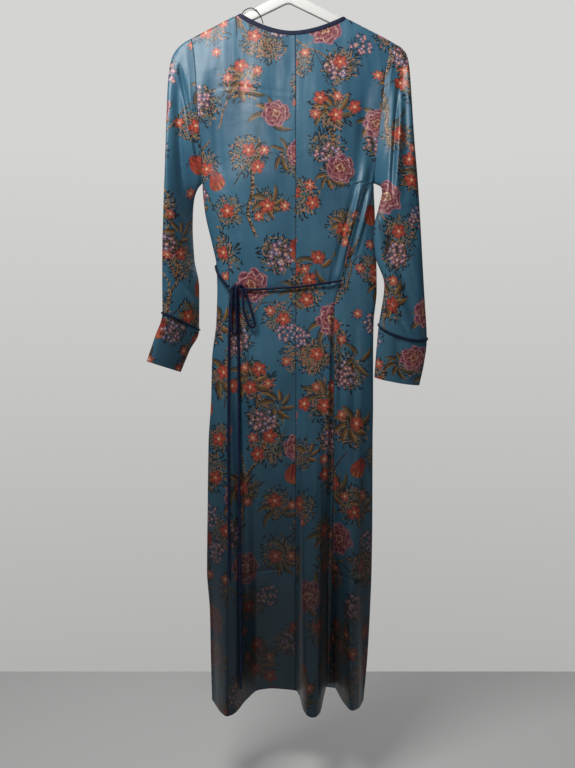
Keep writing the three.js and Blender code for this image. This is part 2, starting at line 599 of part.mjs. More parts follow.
// The routes of the tie's pieces, as points x, y, z. One stretch crosses the back from the knot to the slit
// in the right side seam, and one comes round the left edge. Bow and tails hang from the knot.
const TIE_ACROSS = [
  [-93.2, -18, -661], [-80, -19.4, -664.5], [-52, -21.6, -664.5], [-20, -22.9, -662.5], [10.5, -23.3, -661],
  [42, -23.3, -657.5], [72, -23.2, -653], [88, -23.2, -650.5], [101, -23.2, -648.5],
];
const TIE_SIDE = [
  [-113.4, 13.5, -632], [-122, 13, -628], [-132, 11, -621], [-140.5, 6.5, -617], [-144.8, 0, -617],
  [-143, -6.5, -622], [-137, -11.5, -632], [-129, -15, -643], [-122.5, -17, -652], [-118.5, -18, -657],
  [-115, -18.4, -658],
];
const BOW_RIGHT = [
  [-93.5, -23.4, -657], [-90, -23.7, -657.6], [-85, -24.5, -663.5], [-79, -25, -680], [-72, -25.5, -704],
  [-66, -26, -726], [-65, -26, -734], [-69, -26, -738.5], [-75, -26, -734], [-81, -26, -722],
  [-86, -25.5, -704], [-87.5, -25, -685], [-88, -24.2, -672], [-90, -23.7, -665.6], [-93.2, -23.4, -664.8],
];
const BOW_LEFT = [
  [-107.5, -23.4, -667.9], [-109, -24, -685], [-110, -24.5, -710], [-109.5, -25, -735], [-107, -25, -748],
  [-103.6, -25, -752], [-100.5, -25, -747], [-100, -24.5, -730], [-100.8, -24, -705], [-101, -23.6, -685],
  [-100.5, -23.4, -667.9],
];
const TAIL_LEFT = [
  [-110, -17.6, -667.9], [-110.6, -17.8, -682], [-112.5, -18, -710], [-114, -18.2, -745],
  [-114.8, -18.8, -785], [-115, -21, -840], [-115, -24.4, -900], [-115, -27.4, -950], [-114.6, -30.4, -1000],
  [-114, -33.4, -1050], [-113.4, -36.6, -1100], [-112.8, -39.4, -1150], [-112.2, -42, -1195],
  [-112, -43, -1215],
];
const TAIL_RIGHT = [
  [-98, -17.6, -667.9], [-97.6, -17.8, -685], [-97, -18, -715], [-96.6, -18.4, -760], [-96.2, -19.6, -815],
  [-95.6, -20.8, -870], [-95, -22, -930], [-94.5, -23.6, -995], [-94, -25.6, -1060], [-93.5, -27.2, -1120],
  [-93, -29.2, -1180], [-92.5, -31, -1240], [-92, -32.4, -1300], [-91.5, -33, -1350], [-91, -33.2, -1400],
  [-90.8, -33.2, -1426],
];
const HANGING_LOOP = [
  [-90.5, -6.5, -130], [-87.5, -6.5, -124], [-81, -6.6, -119.2], [-73, -6.5, -117], [-65, -6.5, -119.5],
  [-58, -6.6, -127], [-53, -6.7, -136], [-49.5, -6.9, -147],
];

// The tie's knot, a firm round-edged block.
function knotGeometry() {
  const { width, height, depth, bevel } = KNOT;
  const shape = new THREE.Shape();
  const w = width / 2 - bevel;
  const h = height / 2 - bevel;
  shape.moveTo(-w, -h);
  shape.lineTo(w, -h);
  shape.lineTo(w, h);
  shape.lineTo(-w, h);
  shape.closePath();
  const options = {
    depth: depth - 2 * bevel, bevelEnabled: true, bevelThickness: bevel, bevelSize: bevel, bevelSegments: 2,
  };
  return new THREE.ExtrudeGeometry(shape, options).translate(0, 0, bevel).rotateX(Math.PI / 2);
}

// The hanger's arms: one sloping bar each side of the middle, with round ends and rounded edges.
function hangerArmsGeometry() {
  const { drop, height, half, round, endX, endRadius } = HANGER;
  const slope = Math.atan(SHOULDER_SLOPE);
  const top = (x) => SHOULDER_PEAK - drop - SHOULDER_SLOPE * x - round / Math.cos(slope);
  const under = SHOULDER_PEAK - drop - height + round / Math.cos(slope);
  const radius = endRadius - round;
  const endZ = top(endX) - radius / Math.cos(slope);
  const shape = new THREE.Shape();
  const apexHalf = 7;
  shape.moveTo(-apexHalf, top(apexHalf));
  shape.lineTo(apexHalf, top(apexHalf));
  shape.absarc(endX, endZ, radius, Math.PI / 2 - slope, -Math.PI / 2 - 0.35, true);
  shape.lineTo(4, under - SHOULDER_SLOPE * 4);
  shape.lineTo(-4, under - SHOULDER_SLOPE * 4);
  shape.absarc(-endX, endZ, radius, -Math.PI / 2 + 0.35, -1.5 * Math.PI + slope, true);
  shape.closePath();
  const options = {
    depth: 2 * (half - round), bevelEnabled: true, bevelThickness: round, bevelSize: round, bevelSegments: 2,
    curveSegments: 8,
  };
  return new THREE.ExtrudeGeometry(shape, options).translate(0, 0, -half + round).rotateX(Math.PI / 2);
}

// The hook: a straight shank, a short bend and a round hook whose highest inner point is the origin.
function hookGeometry() {
  const { inner, wire } = HOOK;
  const middle = -inner;
  const reach = inner + wire;
  const foot = SHOULDER_PEAK - HANGER.drop - SHOULDER_SLOPE * 7 + 0.3;
  const points = [[0, 0, foot], [0, 0, foot + 12], [0.5, 0, middle - reach - 9]];
  for (let degrees = -62; degrees <= 205; degrees += 20.5) {
    const a = radians(degrees);
    points.push([reach * Math.cos(a), 0, middle + reach * Math.sin(a)]);
  }
  return cordGeometry(points, wire, 5.5, 10);
}

const COLOURS = {
  satin: new THREE.MeshStandardMaterial({ color: 0x41697d, roughness: 0.45, metalness: 0 }),
  navy: new THREE.MeshStandardMaterial({ color: 0x17203a, roughness: 0.5, metalness: 0 }),
  loop: new THREE.MeshStandardMaterial({ color: 0x14151a, roughness: 0.7, metalness: 0 }),
  hanger: new THREE.MeshStandardMaterial({ color: 0xf2f1ee, roughness: 0.35, metalness: 0 }),
};

const robe = new THREE.Group();

function add(name, geometry, material, y = 0) {
  geometry.deleteAttribute('uv');
  const mesh = new THREE.Mesh(geometry, material);
  mesh.name = name;
  mesh.position.y = y;
  robe.add(mesh);
  return mesh;
}

for (const [name, grid] of Object.entries(panels)) {
  add(name, wallGeometry(grid.outer, grid.inner), COLOURS.satin);
}
for (const side of ['left', 'right']) {
  const sleeve = sleeveTube(side, sleeveStations);
  const cuff = sleeveTube(side, cuffStations);
  add(`sleeve_${side}`, wallGeometry(sleeve.outer, sleeve.inner, true), COLOURS.satin);
  add(`cuff_${side}`, wallGeometry(cuff.outer, cuff.inner, true), COLOURS.satin);
  add(`cuff_piping_${side}`, pipingGeometry(side), COLOURS.navy);
}
add('neck_binding', bindingGeometry(), COLOURS.navy);
add('tie_across', cordGeometry(TIE_ACROSS, TIE, 9), COLOURS.navy);
add('tie_side', cordGeometry(TIE_SIDE, TIE, 5.5), COLOURS.navy);
add('bow_loop_left', cordGeometry(BOW_LEFT, TIE, 8), COLOURS.navy);
add('bow_loop_right', cordGeometry(BOW_RIGHT, TIE, 8), COLOURS.navy);
add('tie_tail_left', cordGeometry(TAIL_LEFT, TIE, 16), COLOURS.navy);
add('tie_tail_right', cordGeometry(TAIL_RIGHT, TIE, 16), COLOURS.navy);
const knot = add('tie_knot', knotGeometry(), COLOURS.navy, KNOT.back);
knot.position.x = KNOT.x;
knot.position.z = KNOT.z;
add('hanging_loop', cordGeometry(HANGING_LOOP, LOOP, 4, 6), COLOURS.loop);
add('hanger_arms', hangerArmsGeometry(), COLOURS.hanger);
add('hanger_hook', hookGeometry(), COLOURS.hanger);

export default robe;
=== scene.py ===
"""A long kimono robe of printed satin on a white hanger, seen from behind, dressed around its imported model.

The shapes are worked out in millimetres in the row's frame: +Z up, the back faces -Y, and left and right are
the wearer's, so left is -X. MM turns them into metres where a mesh is made.
"""

import math

import bpy
import numpy as np
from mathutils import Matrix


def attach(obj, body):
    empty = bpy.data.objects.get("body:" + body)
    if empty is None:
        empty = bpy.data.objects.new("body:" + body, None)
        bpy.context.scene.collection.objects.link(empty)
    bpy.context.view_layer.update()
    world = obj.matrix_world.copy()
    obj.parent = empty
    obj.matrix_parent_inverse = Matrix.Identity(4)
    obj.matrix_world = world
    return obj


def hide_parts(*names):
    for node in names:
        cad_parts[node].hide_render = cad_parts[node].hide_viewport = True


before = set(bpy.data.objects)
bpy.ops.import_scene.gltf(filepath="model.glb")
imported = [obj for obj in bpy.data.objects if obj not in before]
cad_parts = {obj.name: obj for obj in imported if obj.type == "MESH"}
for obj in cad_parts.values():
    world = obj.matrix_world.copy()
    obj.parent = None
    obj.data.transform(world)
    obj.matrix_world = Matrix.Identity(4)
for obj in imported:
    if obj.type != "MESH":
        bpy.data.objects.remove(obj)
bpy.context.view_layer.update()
MM = 0.001

# Driving sizes, as in the part's source

SHELL = 0.9  # thickness of the satin and its facings
SHOULDER_PEAK = -75.8
SHOULDER_SLOPE = 0.52
SHOULDER_ROW = -176.0
UNDERARM_ROW = -456.0
WAIST_ROW = -640.0
HEM_ROW = -1463.0
CENTRE_BACK = 14.0
NECK = {"left": -104.5, "right": 117.5, "lowest": -170.0, "left_rise": 39.9, "right_rise": 33.1}
HANGER = {"drop": 4.5, "half": 3.8, "peak": 7.0, "end_x": 199.0, "end_radius": 8.0}
HANGER_UNDERSIDE = {"height": -106.4, "level_to": 4.0, "slope": 0.4884}
HOOK = {"inner": 19.0, "wire": 3.4}
TIE = 2.5
LOOP = 0.9
PIPING = 1.8
BINDING = {"width": 9.4, "thick": 2.2, "out": 3.2}
SHOULDER_TURN = 8.0
SHOULDER_FALL = 260.0
ARMHOLE = {"top": 8.0, "gain": 12.0, "over": 0.5}
SLEEVE_FULLNESS = 0.8
SLEEVE_BLEND = 2.5
UNDERLAP = {"inset": 5.0, "from_row": -230.0, "over": 130.0}
NECK_CORNER = 9.0
CUFF_AT = 12.0
CUFF_END = 14.0
KNOT = {"x": -104.0, "y": -20.5, "z": -661.0}

# The body's section at each height: row, left, right, back, front, lens
BODY_SECTIONS = np.array([
    (-176, -190, 197, 9.5, 9, 2), (-197, -186, 196, 11, 11, 2), (-242, -181, 188, 15, 14, 2),
    (-307, -176.5, 181, 21, 20, 1.9), (-367, -171.5, 174, 26, 26, 1.7), (-416, -168.5, 169, 29, 29, 1.35),
    (-456, -168, 166, 30, 30, 1), (-511, -163, 168, 28, 29, 1), (-574, -149, 170.5, 25, 26, 1),
    (-613, -141, 171.5, 22, 23, 1), (-663, -139, 172, 20, 22, 1), (-728, -141, 166, 22, 26, 1),
    (-796, -149, 165, 25, 31, 1), (-878, -151, 165, 26, 35, 1), (-960, -156, 164, 25, 39, 1),
    (-1108, -158, 163.5, 23, 48, 1), (-1210, -159, 162, 19, 56, 1), (-1287, -153.5, 159, 14, 63, 1),
    (-1376, -151.5, 154, 9, 71, 1), (-1463, -149, 146, 5, 80, 1),
], float)

# Where the side seams lie on the back: row, left, right
SIDE_SEAMS = np.array([
    (-456, -168, 166), (-480, -156, 147), (-549, -127, 124), (-600, -117, 111), (-650, -115, 101),
    (-697, -115, 88), (-1190, -115, 86), (-1463, -114, 83),
], float)

# The free edges of the crossing fronts: row, left front's edge, right front's edge
FRONT_EDGES = np.array([(-176, -104.5, 117.5), (-640, 118, -105), (-1463, 100, -102)], float)

# The skirt's flutes at the hem: place across, distance away from the camera's side
HEM_FLUTES = np.array([
    (-149, 0), (-132, -38), (-116, -50), (-102, -42), (-82, 2), (-62, 34), (-35, 40), (-8, 36), (14, 34),
    (21, 18), (28, -36), (36, -50), (50, -50), (60, -38), (69, 4), (78, 44), (87, 44), (98, 14), (108, -18),
    (121, -42), (134, -38), (146, 0),
], float)
FLUTES_FROM = -760.0

# How much lower the hem hangs at each place across
HEM_DROP = np.array([
    (-149, 0), (-140, 5), (-126, 8), (-108, 7), (-81, -2), (-56, -7), (-15, -8), (16, -6), (30, 3), (44, 9),
    (59, 5), (70, -8), (83, -17), (96, -10), (103, -3), (126, 4), (139, 5), (147, 0),
], float)
HEM_DROP_FROM = -1180.0

# Broad folds of the back, as in the part's source: from x, row, to x, row, half width, depth
BACK_FOLDS = [
    (-104, -690, -90, -1290, 10, 9), (156, -400, 92, -668, 9, -8), (176, -420, 124, -600, 8, -7),
    (78, -660, 77, -1230, 9, -9), (158, -250, 128, -480, 12, 5), (-150, -250, -128, -480, 12, 5),
]

# The sleeves' rings: at, outer end x, y, z, inner end x, y, z, half thickness, sag
SLEEVES = {
    "left": np.array([
        (0, -190, 0, -176, -168, 0, -456, 19, 0), (1, -205, 0, -184.5, -171, 1, -458.5, 21, 0),
        (2, -218, 0, -196, -174, 2, -461, 22, 0), (3, -226, -1, -210, -176.5, 3, -464, 22, 0),
        (4, -231, -3, -232, -179, 5, -468, 22, 0), (5, -234, -8, -270, -182, 9, -473, 22, 0),
        (6, -235, -15, -320, -185, 15, -480, 21, 0), (7, -235.5, -25, -380, -188, 23, -492, 19, 0),
        (8, -235.5, -34, -440, -191, 32, -512, 17, 0), (9, -236, -38, -505, -193, 38, -548, 16, 0),
        (10, -237, -38, -575, -191, 40, -597, 15, 0), (11, -238, -36, -645, -181, 38, -655, 15, 0),
        (12, -239, -33, -712, -180, 34, -738, 15, 0), (13, -253, -32, -757, -199, 35, -779, 14, 0),
        (14, -269, -31, -804, -217, 35, -822, 14, 0),
    ], float),
    "right": np.array([
        (0, 197, 0, -176, 166, 0, -456, 19, 0), (1, 209, 0, -184, 169.5, -2, -457.5, 21, 0),
        (2, 221, 0, -193, 173, -5, -459.5, 23, 0), (3, 230, 0, -206, 176, -8, -462, 24, 0),
        (4, 234.5, -1, -226, 178.5, -12, -465, 25, 0), (5, 237.5, -2, -266, 180, -16, -470, 26, 0),
        (6, 240.5, -4, -320, 180, -21, -478, 25, 0), (7, 244, -8, -385, 177, -27, -492, 23, 0),
        (8, 248.5, -12, -450, 171, -34, -515, 20, 0), (9, 252.5, -16, -520, 162, -37, -556, 17, 0),
        (10, 256, -18, -590, 166, -37, -605, 17, 2), (11, 260, -18, -665, 183, -35, -660, 17, 6),
        (12, 266, -16, -758, 172, -36, -736, 14, 14), (13, 261, -15, -805, 167, -36, -787, 13, 8),
        (14, 252, -14, -848, 163.6, -35, -834, 13, 4),
    ], float),
}
SIDE_SIGN = {"left": -1.0, "right": 1.0}

# The sleeves' deepest folds: from ring, to ring, start angle, end angle, half angle, depth
SLEEVE_FOLDS = {
    "left": [(1, 8, 62, 96, 20, 9)],
    "right": [(1, 8.5, 48, 76, 20, 11), (8.8, 12, 128, 72, 20, 7)],
}

# Fine creases: from x, z, to x, z, half width, depth. A positive depth is a trough, a negative one a ridge.
BACK_CREASES = [
    (87, -690, 74, -1230, 3.4, 9.0), (101, -700, 99, -960, 3.0, 5.0), (94, -710, 90, -930, 3.2, -3.0),
    (163, -425, 107, -648, 5.0, 7.0), (140, -430, 84, -655, 7.0, 5.5), (-6, -915, -35, -1015, 6.0, -3.6),
    (4, -925, -24, -1020, 7.0, 1.8), (-28, -825, -28, -915, 5.0, 3.0), (-140, -286, 10, -289, 2.2, 2.2),
    (-136, -291, 12, -295, 3.0, -1.4), (-93, -1213, 14, -1206, 4.2, 5.0), (72, -1216, 160, -1221, 4.2, 5.0),
    (12, -1234, 56, -1252, 4.2, 4.0), (88, -1346, 124, -1336, 4.5, 4.0), (60, -1250, 92, -1272, 4.0, 1.4),
    (176, -436, 117, -652, 2.8, 4.5), (150, -440, 97, -652, 2.8, 4.0), (-60, -240, -28, -470, 16.0, -1.8),
    (58, -250, 44, -560, 18.0, -1.6), (96, -230, 84, -420, 12.0, 1.6), (-95, -250, -88, -430, 14.0, 1.6),
    (-120, -520, -84, -655, 8.0, 2.0), (-98, -560, -76, -655, 6.0, -1.4), (30, -600, 26, -655, 9.0, 1.3),
    (62, -590, 72, -652, 7.0, 1.6), (-44, -590, -50, -660, 8.0, 1.2), (-62, -672, -58, -790, 6.0, 3.0),
    (-38, -672, -34, -760, 6.0, -1.5), (-8, -670, -2, -800, 8.0, 1.6), (36, -668, 44, -820, 8.0, 1.8),
    (62, -662, 60, -770, 6.0, -1.6), (-76, -680, -72, -960, 4.6, 3.6), (-84, -980, -70, -1300, 8.0, -2.0),
    (40, -900, 30, -1240, 8.0, 3.4), (130, -720, 122, -1040, 7.0, 4.0), (146, -800, 140, -1200, 8.0, -2.0),
    (-132, -700, -128, -1100, 5.0, 3.6), (-20, -1130, -6, -1350, 10.0, 1.6),
]
FRONT_CREASES = [
    (-60, -250, 40, -620, 14.0, 2.4), (70, -250, -40, -610, 14.0, 2.2), (-120, -330, -20, -600, 11.0, 2.0),
    (120, -330, 30, -590, 11.0, 2.0), (-40, -670, -52, -1180, 12.0, 3.6), (8, -668, 2, -1250, 13.0, 3.4),
    (56, -670, 66, -1200, 12.0, 3.6), (-90, -680, -100, -1300, 12.0, 3.2),
    (104, -690, 116, -1280, 12.0, 3.2), (-16, -665, -22, -860, 6.0, -2.2), (32, -668, 34, -880, 6.0, -2.2),
    (84, -676, 92, -900, 7.0, -2.2), (-70, -674, -78, -930, 7.0, -2.2),
    (-126, -700, -130, -1200, 10.0, 2.6), (134, -700, 138, -1180, 10.0, 2.6),
    (-118, -520, -70, -640, 7.0, 1.8), (126, -520, 76, -640, 7.0, 1.8), (-60, -1250, 20, -1300, 7.0, 1.4),
]
SLEEVE_CREASES = {
    "left": [
        (-212, -228, -173, -420, 4.0, 8.0), (-192, -255, -184, -420, 6.0, -2.0),
        (-224, -470, -198, -500, 4.0, 2.0), (-228, -500, -200, -535, 5.0, -1.8),
        (-224, -560, -196, -590, 4.0, 1.8), (-224, -626, -178, -686, 3.4, 6.0),
        (-214, -650, -184, -700, 7.0, -2.0), (-196, -640, -190, -716, 5.0, -1.6),
        (-214, -330, -206, -470, 6.0, 1.8),
    ],
    "right": [
        (212, -262, 194, -500, 4.4, 10.0), (210, -380, 202, -500, 5.0, -3.0),
        (182, -663, 228, -752, 3.8, 9.0), (203, -756, 218, -850, 9.0, 20.0),
        (196, -556, 186, -622, 8.0, 5.0), (194, -655, 240, -740, 6.0, -2.4),
        (184, -585, 212, -612, 9.0, 3.0), (214, -540, 246, -580, 8.0, 2.0),
        (222, -600, 250, -690, 8.0, 2.2), (226, -250, 208, -420, 5.0, -3.0),
        (226, -300, 232, -460, 8.0, 1.6), (206, -690, 214, -742, 6.0, 2.0),
    ],
}

# The routes of the tie's pieces and of the loop, as points x, y, z
TIE_ACROSS = [
    (-93.2, -18, -661), (-80, -19.4, -664.5), (-52, -21.6, -664.5), (-20, -22.9, -662.5),
    (10.5, -23.3, -661), (42, -23.3, -657.5), (72, -23.2, -653), (88, -23.2, -650.5), (101, -23.2, -648.5),
]
TIE_SIDE = [
    (-113.4, 13.5, -632), (-122, 13, -628), (-132, 11, -621), (-138.5, 6.5, -617), (-141.4, 0, -617),
    (-140.6, -6.5, -622), (-137, -11.5, -632), (-129, -15, -643), (-122.5, -17, -652), (-118.5, -18, -657),
    (-115, -18.4, -658),
]
BOW_RIGHT = [
    (-93.5, -23.4, -657), (-90, -23.7, -657.6), (-85, -24.5, -663.5), (-79, -25, -680), (-72, -25.5, -704),
    (-66, -26, -726), (-65, -26, -734), (-69, -26, -738.5), (-75, -26, -734), (-81, -26, -722),
    (-86, -25.5, -704), (-87.5, -25, -685), (-88, -24.2, -672), (-90, -23.7, -665.6),
    (-93.2, -23.4, -664.8),
]
BOW_LEFT = [
    (-107.5, -23.4, -667.9), (-109, -24, -685), (-110, -24.5, -710), (-109.5, -25, -735), (-107, -25, -748),
    (-103.6, -25, -752), (-100.5, -25, -747), (-100, -24.5, -730), (-100.8, -24, -705), (-101, -23.6, -685),
    (-100.5, -23.4, -667.9),
]
TAIL_LEFT = [
    (-110, -17.6, -667.9), (-110.6, -17.8, -682), (-112.5, -18, -710), (-114, -18.2, -745),
    (-114.8, -18.8, -785), (-115, -21, -840), (-115, -24.4, -900), (-115, -27.4, -950),
    (-114.6, -30.4, -1000), (-114, -33.4, -1050), (-113.4, -36.6, -1100), (-112.8, -39.4, -1150),
    (-112.2, -42, -1195), (-112, -43, -1215),
]
TAIL_RIGHT = [
    (-98, -17.6, -667.9), (-97.6, -17.8, -685), (-97, -18, -715), (-96.6, -18.4, -760),
    (-96.2, -19.6, -815), (-95.6, -20.8, -870), (-95, -22, -930), (-94.5, -23.6, -995), (-94, -25.6, -1060),
    (-93.5, -27.2, -1120), (-93, -29.2, -1180), (-92.5, -31, -1240), (-92, -32.4, -1300),
    (-91.5, -33, -1350), (-91, -33.2, -1400), (-90.8, -33.2, -1426),
]
HANGING_LOOP = [
    (-90.5, -6.5, -130), (-87.5, -6.5, -124), (-81, -6.6, -119.2), (-73, -6.5, -117), (-65, -6.5, -119.5),
    (-58, -6.6, -127), (-53, -6.7, -136), (-49.5, -6.9, -147),
]


# The camera comes first: the photo's distance, height and angle

CAMERA = {"place": (-0.002, -1.450, -0.8468), "sensor": 36.0, "lens": 34.86, "sees_to": 30.0}


def make_camera():
    """A camera that looks level at the back, straight along +Y."""
    camera = bpy.data.objects.new("camera", bpy.data.cameras.new("camera"))
    bpy.context.scene.collection.objects.link(camera)
    camera.location = CAMERA["place"]
    camera.rotation_euler = (math.pi / 2, 0, 0)
    camera.data.sensor_width = CAMERA["sensor"]
    camera.data.lens = CAMERA["lens"]
    camera.data.clip_end = CAMERA["sees_to"]
    bpy.context.scene.camera = camera


make_camera()


# Small formulas

def mix(a, b, t):
    return a + (b - a) * t


def clamp01(t):
    return np.clip(t, 0.0, 1.0)


def smooth(t):
    """0 up to t = 0 and 1 from t = 1, and 3 t squared - 2 t cubed between them."""
    t = clamp01(t)
    return t * t * (3 - 2 * t)


def bump(t):
    """A soft hump, 1 at t = 0: exp(-t squared)."""
    return np.exp(-t * t)


def curve_through(table, column, at):
    """Reads a column of a table as a smooth curve through its rows, at the places `at` of the first column.

    Between two rows it is the cubic whose end slopes are the harmonic means of the slopes on both sides, and
    0 where those differ in sign, so the curve never overshoots.
    """
    keys, values = table[:, 0], table[:, column]
    if keys[-1] < keys[0]:
        keys, values = keys[::-1], values[::-1]
    slope = np.diff(values) / np.diff(keys)
    same = slope[:-1] * slope[1:] > 0
    total = np.where(same, slope[:-1] + slope[1:], 1.0)
    inner = np.where(same, 2 * slope[:-1] * slope[1:] / total, 0.0)
    tangent = np.concatenate([slope[:1], inner, slope[-1:]])
    at = np.clip(at, keys[0], keys[-1])
    i = np.clip(np.searchsorted(keys, at) - 1, 0, len(keys) - 2)
    span = keys[i + 1] - keys[i]
    t = (at - keys[i]) / span
    start = (1 + 2 * t) * (1 - t) ** 2 * values[i] + t * (1 - t) ** 2 * span * tangent[i]
    return start + t * t * (3 - 2 * t) * values[i + 1] - t * t * (1 - t) * span * tangent[i + 1]


def creases(table, x, z):
    """How far the cloth is pushed in by soft creases.

    Each is its depth, times the sine of the way along it to the power 0.7, times exp(-(distance across / half
    width) squared).
    """
    pushed = np.zeros(np.broadcast(x, z).shape)
    for x0, z0, x1, z1, half, depth in table:
        length = math.hypot(x1 - x0, z1 - z0)
        along = ((x - x0) * (x1 - x0) + (z - z0) * (z1 - z0)) / length**2
        across = ((x - x0) * (z1 - z0) - (z - z0) * (x1 - x0)) / length
        taper = np.sin(np.pi * clamp01(along)) ** 0.7
        pushed += depth * taper * bump(across / half)
    return pushed


def soft_unevenness(x, z, seed, size=0.9):
    """A gentle unevenness of hanging cloth: seven sine waves of different lengths and directions, mostly
    running down the cloth."""
    draw = np.random.default_rng(seed)
    away = np.zeros(np.broadcast(x, z).shape)
    for wavelength in (210, 150, 110, 82, 61, 44, 33):
        lean = draw.uniform(-0.35, 0.35)
        phase = draw.uniform(0, 2 * math.pi)
        drift = draw.uniform(0, 2 * math.pi)
        wave = np.sin(2 * np.pi * (x + lean * z) / wavelength + phase + 0.9 * np.sin(z / 140 + drift))
        away += size * (wavelength / 210) ** 0.8 * wave * 0.6
    return away


# The body's surface

def top_line(x, on_back):
    """Height of the top edge: the shoulder lines, with the back neck's curve between the neck's corners."""
    shoulder = SHOULDER_PEAK - SHOULDER_SLOPE * np.abs(x)
    corner = np.where(x < 0, -NECK["left"], NECK["right"])
    front = SHOULDER_PEAK - SHOULDER_SLOPE * corner
    centre = (NECK["left"] + NECK["right"]) / 2
    u = (x - centre) / (NECK["right"] - centre)
    rise = np.where(u < 0, NECK["left_rise"], NECK["right_rise"])
    back = NECK["lowest"] + rise * np.abs(u) ** 1.8
    in_neck = (x > NECK["left"]) & (x < NECK["right"])
    return np.where(in_neck, np.where(on_back, back, front), shoulder)


def armhole_depth(row, close):
    """Half the gap between back and front at the armhole, which opens below the shoulder and closes at the
    underarm as (1 - s to the fourth) to the power `close`."""
    s = clamp01((SHOULDER_ROW - row) / (SHOULDER_ROW - UNDERARM_ROW))
    return (ARMHOLE["top"] + ARMHOLE["gain"] * smooth(s / ARMHOLE["over"])) * (1 - s**4) ** close


def back_folds(x, row):
    """The hem's flutes, growing downwards as the 1.5th power, and the single broad folds."""
    flute = clamp01((FLUTES_FROM - row) / (FLUTES_FROM - HEM_ROW)) ** 1.5
    away = flute * curve_through(HEM_FLUTES, 1, x)
    for x0, row0, x1, row1, half, depth in BACK_FOLDS:
        t = clamp01((row - row0) / (row1 - row0))
        away += depth * np.sin(np.pi * t) ** 0.8 * bump((x - mix(x0, x1, t)) / half)
    return away


def body_surface(angle, row, inset=0.0, fine=True):
    """Points of the body's cloth.

    The angle goes round the section: 0 is the middle of the back, a quarter turn the right edge, and past it
    comes the front. Each section is a lens whose depth is edge + (depth - edge) |cos angle| ^ lens. It turns
    over the hanger by a quarter round at the shoulder, and the back's folds and the fine creases are added.
    """
    left, right = curve_through(BODY_SECTIONS, 1, row), curve_through(BODY_SECTIONS, 2, row)
    back, front = curve_through(BODY_SECTIONS, 3, row), curve_through(BODY_SECTIONS, 4, row)
    lens = curve_through(BODY_SECTIONS, 5, row)
    facing = np.cos(angle)
    on_back = facing >= 0
    x = (left + right) / 2 + (right - left) / 2 * np.sin(angle)
    fall = (1 - clamp01((SHOULDER_ROW - row) / SHOULDER_FALL)) ** 2
    inland = clamp01(np.abs(facing) * 2.6)
    edge = mix(armhole_depth(row, 0.75), armhole_depth(row, 2.0), inland)
    edge = np.where(row > UNDERARM_ROW, edge, 0.0)
    tucked = inset * smooth((UNDERLAP["from_row"] - row) / UNDERLAP["over"])
    depth = np.where(on_back, back, front - tucked)
    in_neck = np.minimum(x - NECK["left"], NECK["right"] - x) / NECK_CORNER
    turned = np.where(on_back, SHOULDER_TURN * smooth(in_neck), 0.0)
    below = clamp01((SHOULDER_ROW - row + turned) / SHOULDER_TURN)
    y = (edge + (depth - edge) * np.abs(facing) ** lens) * np.sqrt(1 - (1 - below) ** 2)
    z = row + fall * (top_line(x, on_back) - SHOULDER_ROW)
    lower = clamp01((HEM_DROP_FROM - row) / (HEM_DROP_FROM - HEM_ROW)) ** 2
    z = z - np.where(on_back, lower * curve_through(HEM_DROP, 1, x), 0.0)
    fullness = np.minimum(1, 1.6 * np.abs(facing))
    away = back_folds(x, row)
    inwards = np.zeros_like(y)
    if fine:
        settled = fullness * smooth((SHOULDER_ROW - row) / 30)
        away = away + smooth((SHOULDER_ROW - row) / 30) * (
            creases(BACK_CREASES, x, row) + tie_pull(x, row) + soft_unevenness(x, row, 3))
        inwards = settled * (creases(FRONT_CREASES, x, row) + soft_unevenness(x, row, 5, 0.8))
    y = np.where(on_back, -y + away * fullness, y - inwards)
    return np.stack([x, y, z], axis=-1)


def tie_pull(x, row):
    """The tie's soft groove across the back, and small pleats fanning out above and below it."""
    height = np.interp(x, [p[0] for p in TIE_ACROSS], [p[2] for p in TIE_ACROSS])
    shown = smooth((x + 112) / 16) * smooth((112 - x) / 16)
    groove = 1.5 * bump((row - height) / 7)
    pleats = np.zeros_like(groove)
    draw = np.random.default_rng(11)
    for place in np.linspace(-92, 96, 17):
        foot = place + draw.uniform(-4, 4)
        lean, half = draw.uniform(-0.12, 0.12), draw.uniform(2.6, 4.6)
        up, down = draw.uniform(16, 52), draw.uniform(22, 80)
        fade = np.where(row > height, (row - height) / up, (height - row) / down)
        pleats += draw.uniform(0.5, 1.5) * bump((x - foot - lean * (row - height)) / half) * bump(fade)
    return shown * (groove + pleats)


def angle_at(x, row, on_front=0.0):
    """The angle at which a place across lies, on the back or, with on_front -1 or 1, on a front."""
    left, right = curve_through(BODY_SECTIONS, 1, row), curve_through(BODY_SECTIONS, 2, row)
    angle = np.arcsin(np.clip((x - (left + right) / 2) / ((right - left) / 2), -1, 1))
    return angle if on_front == 0 else on_front * math.pi - angle


def seam_angle(side, row):
    """The side seam: the armhole's edge above the underarm, and a line on the back below it."""
    seam = curve_through(SIDE_SEAMS, 1 if side == "left" else 2, row)
    edge = SIDE_SIGN[side] * math.pi / 2
    return np.where(row >= UNDERARM_ROW, edge, angle_at(seam, row))


# The sleeves' surface

def unit(v):
    return v / np.maximum(np.linalg.norm(v, axis=-1, keepdims=True), 1e-12)


def ring_profile(turn):
    """A ring's half thickness as a share: the sine's own sign times |sine| ^ 0.8."""
    sine = np.sin(turn)
    return np.sign(sine) * np.abs(sine) ** SLEEVE_FULLNESS


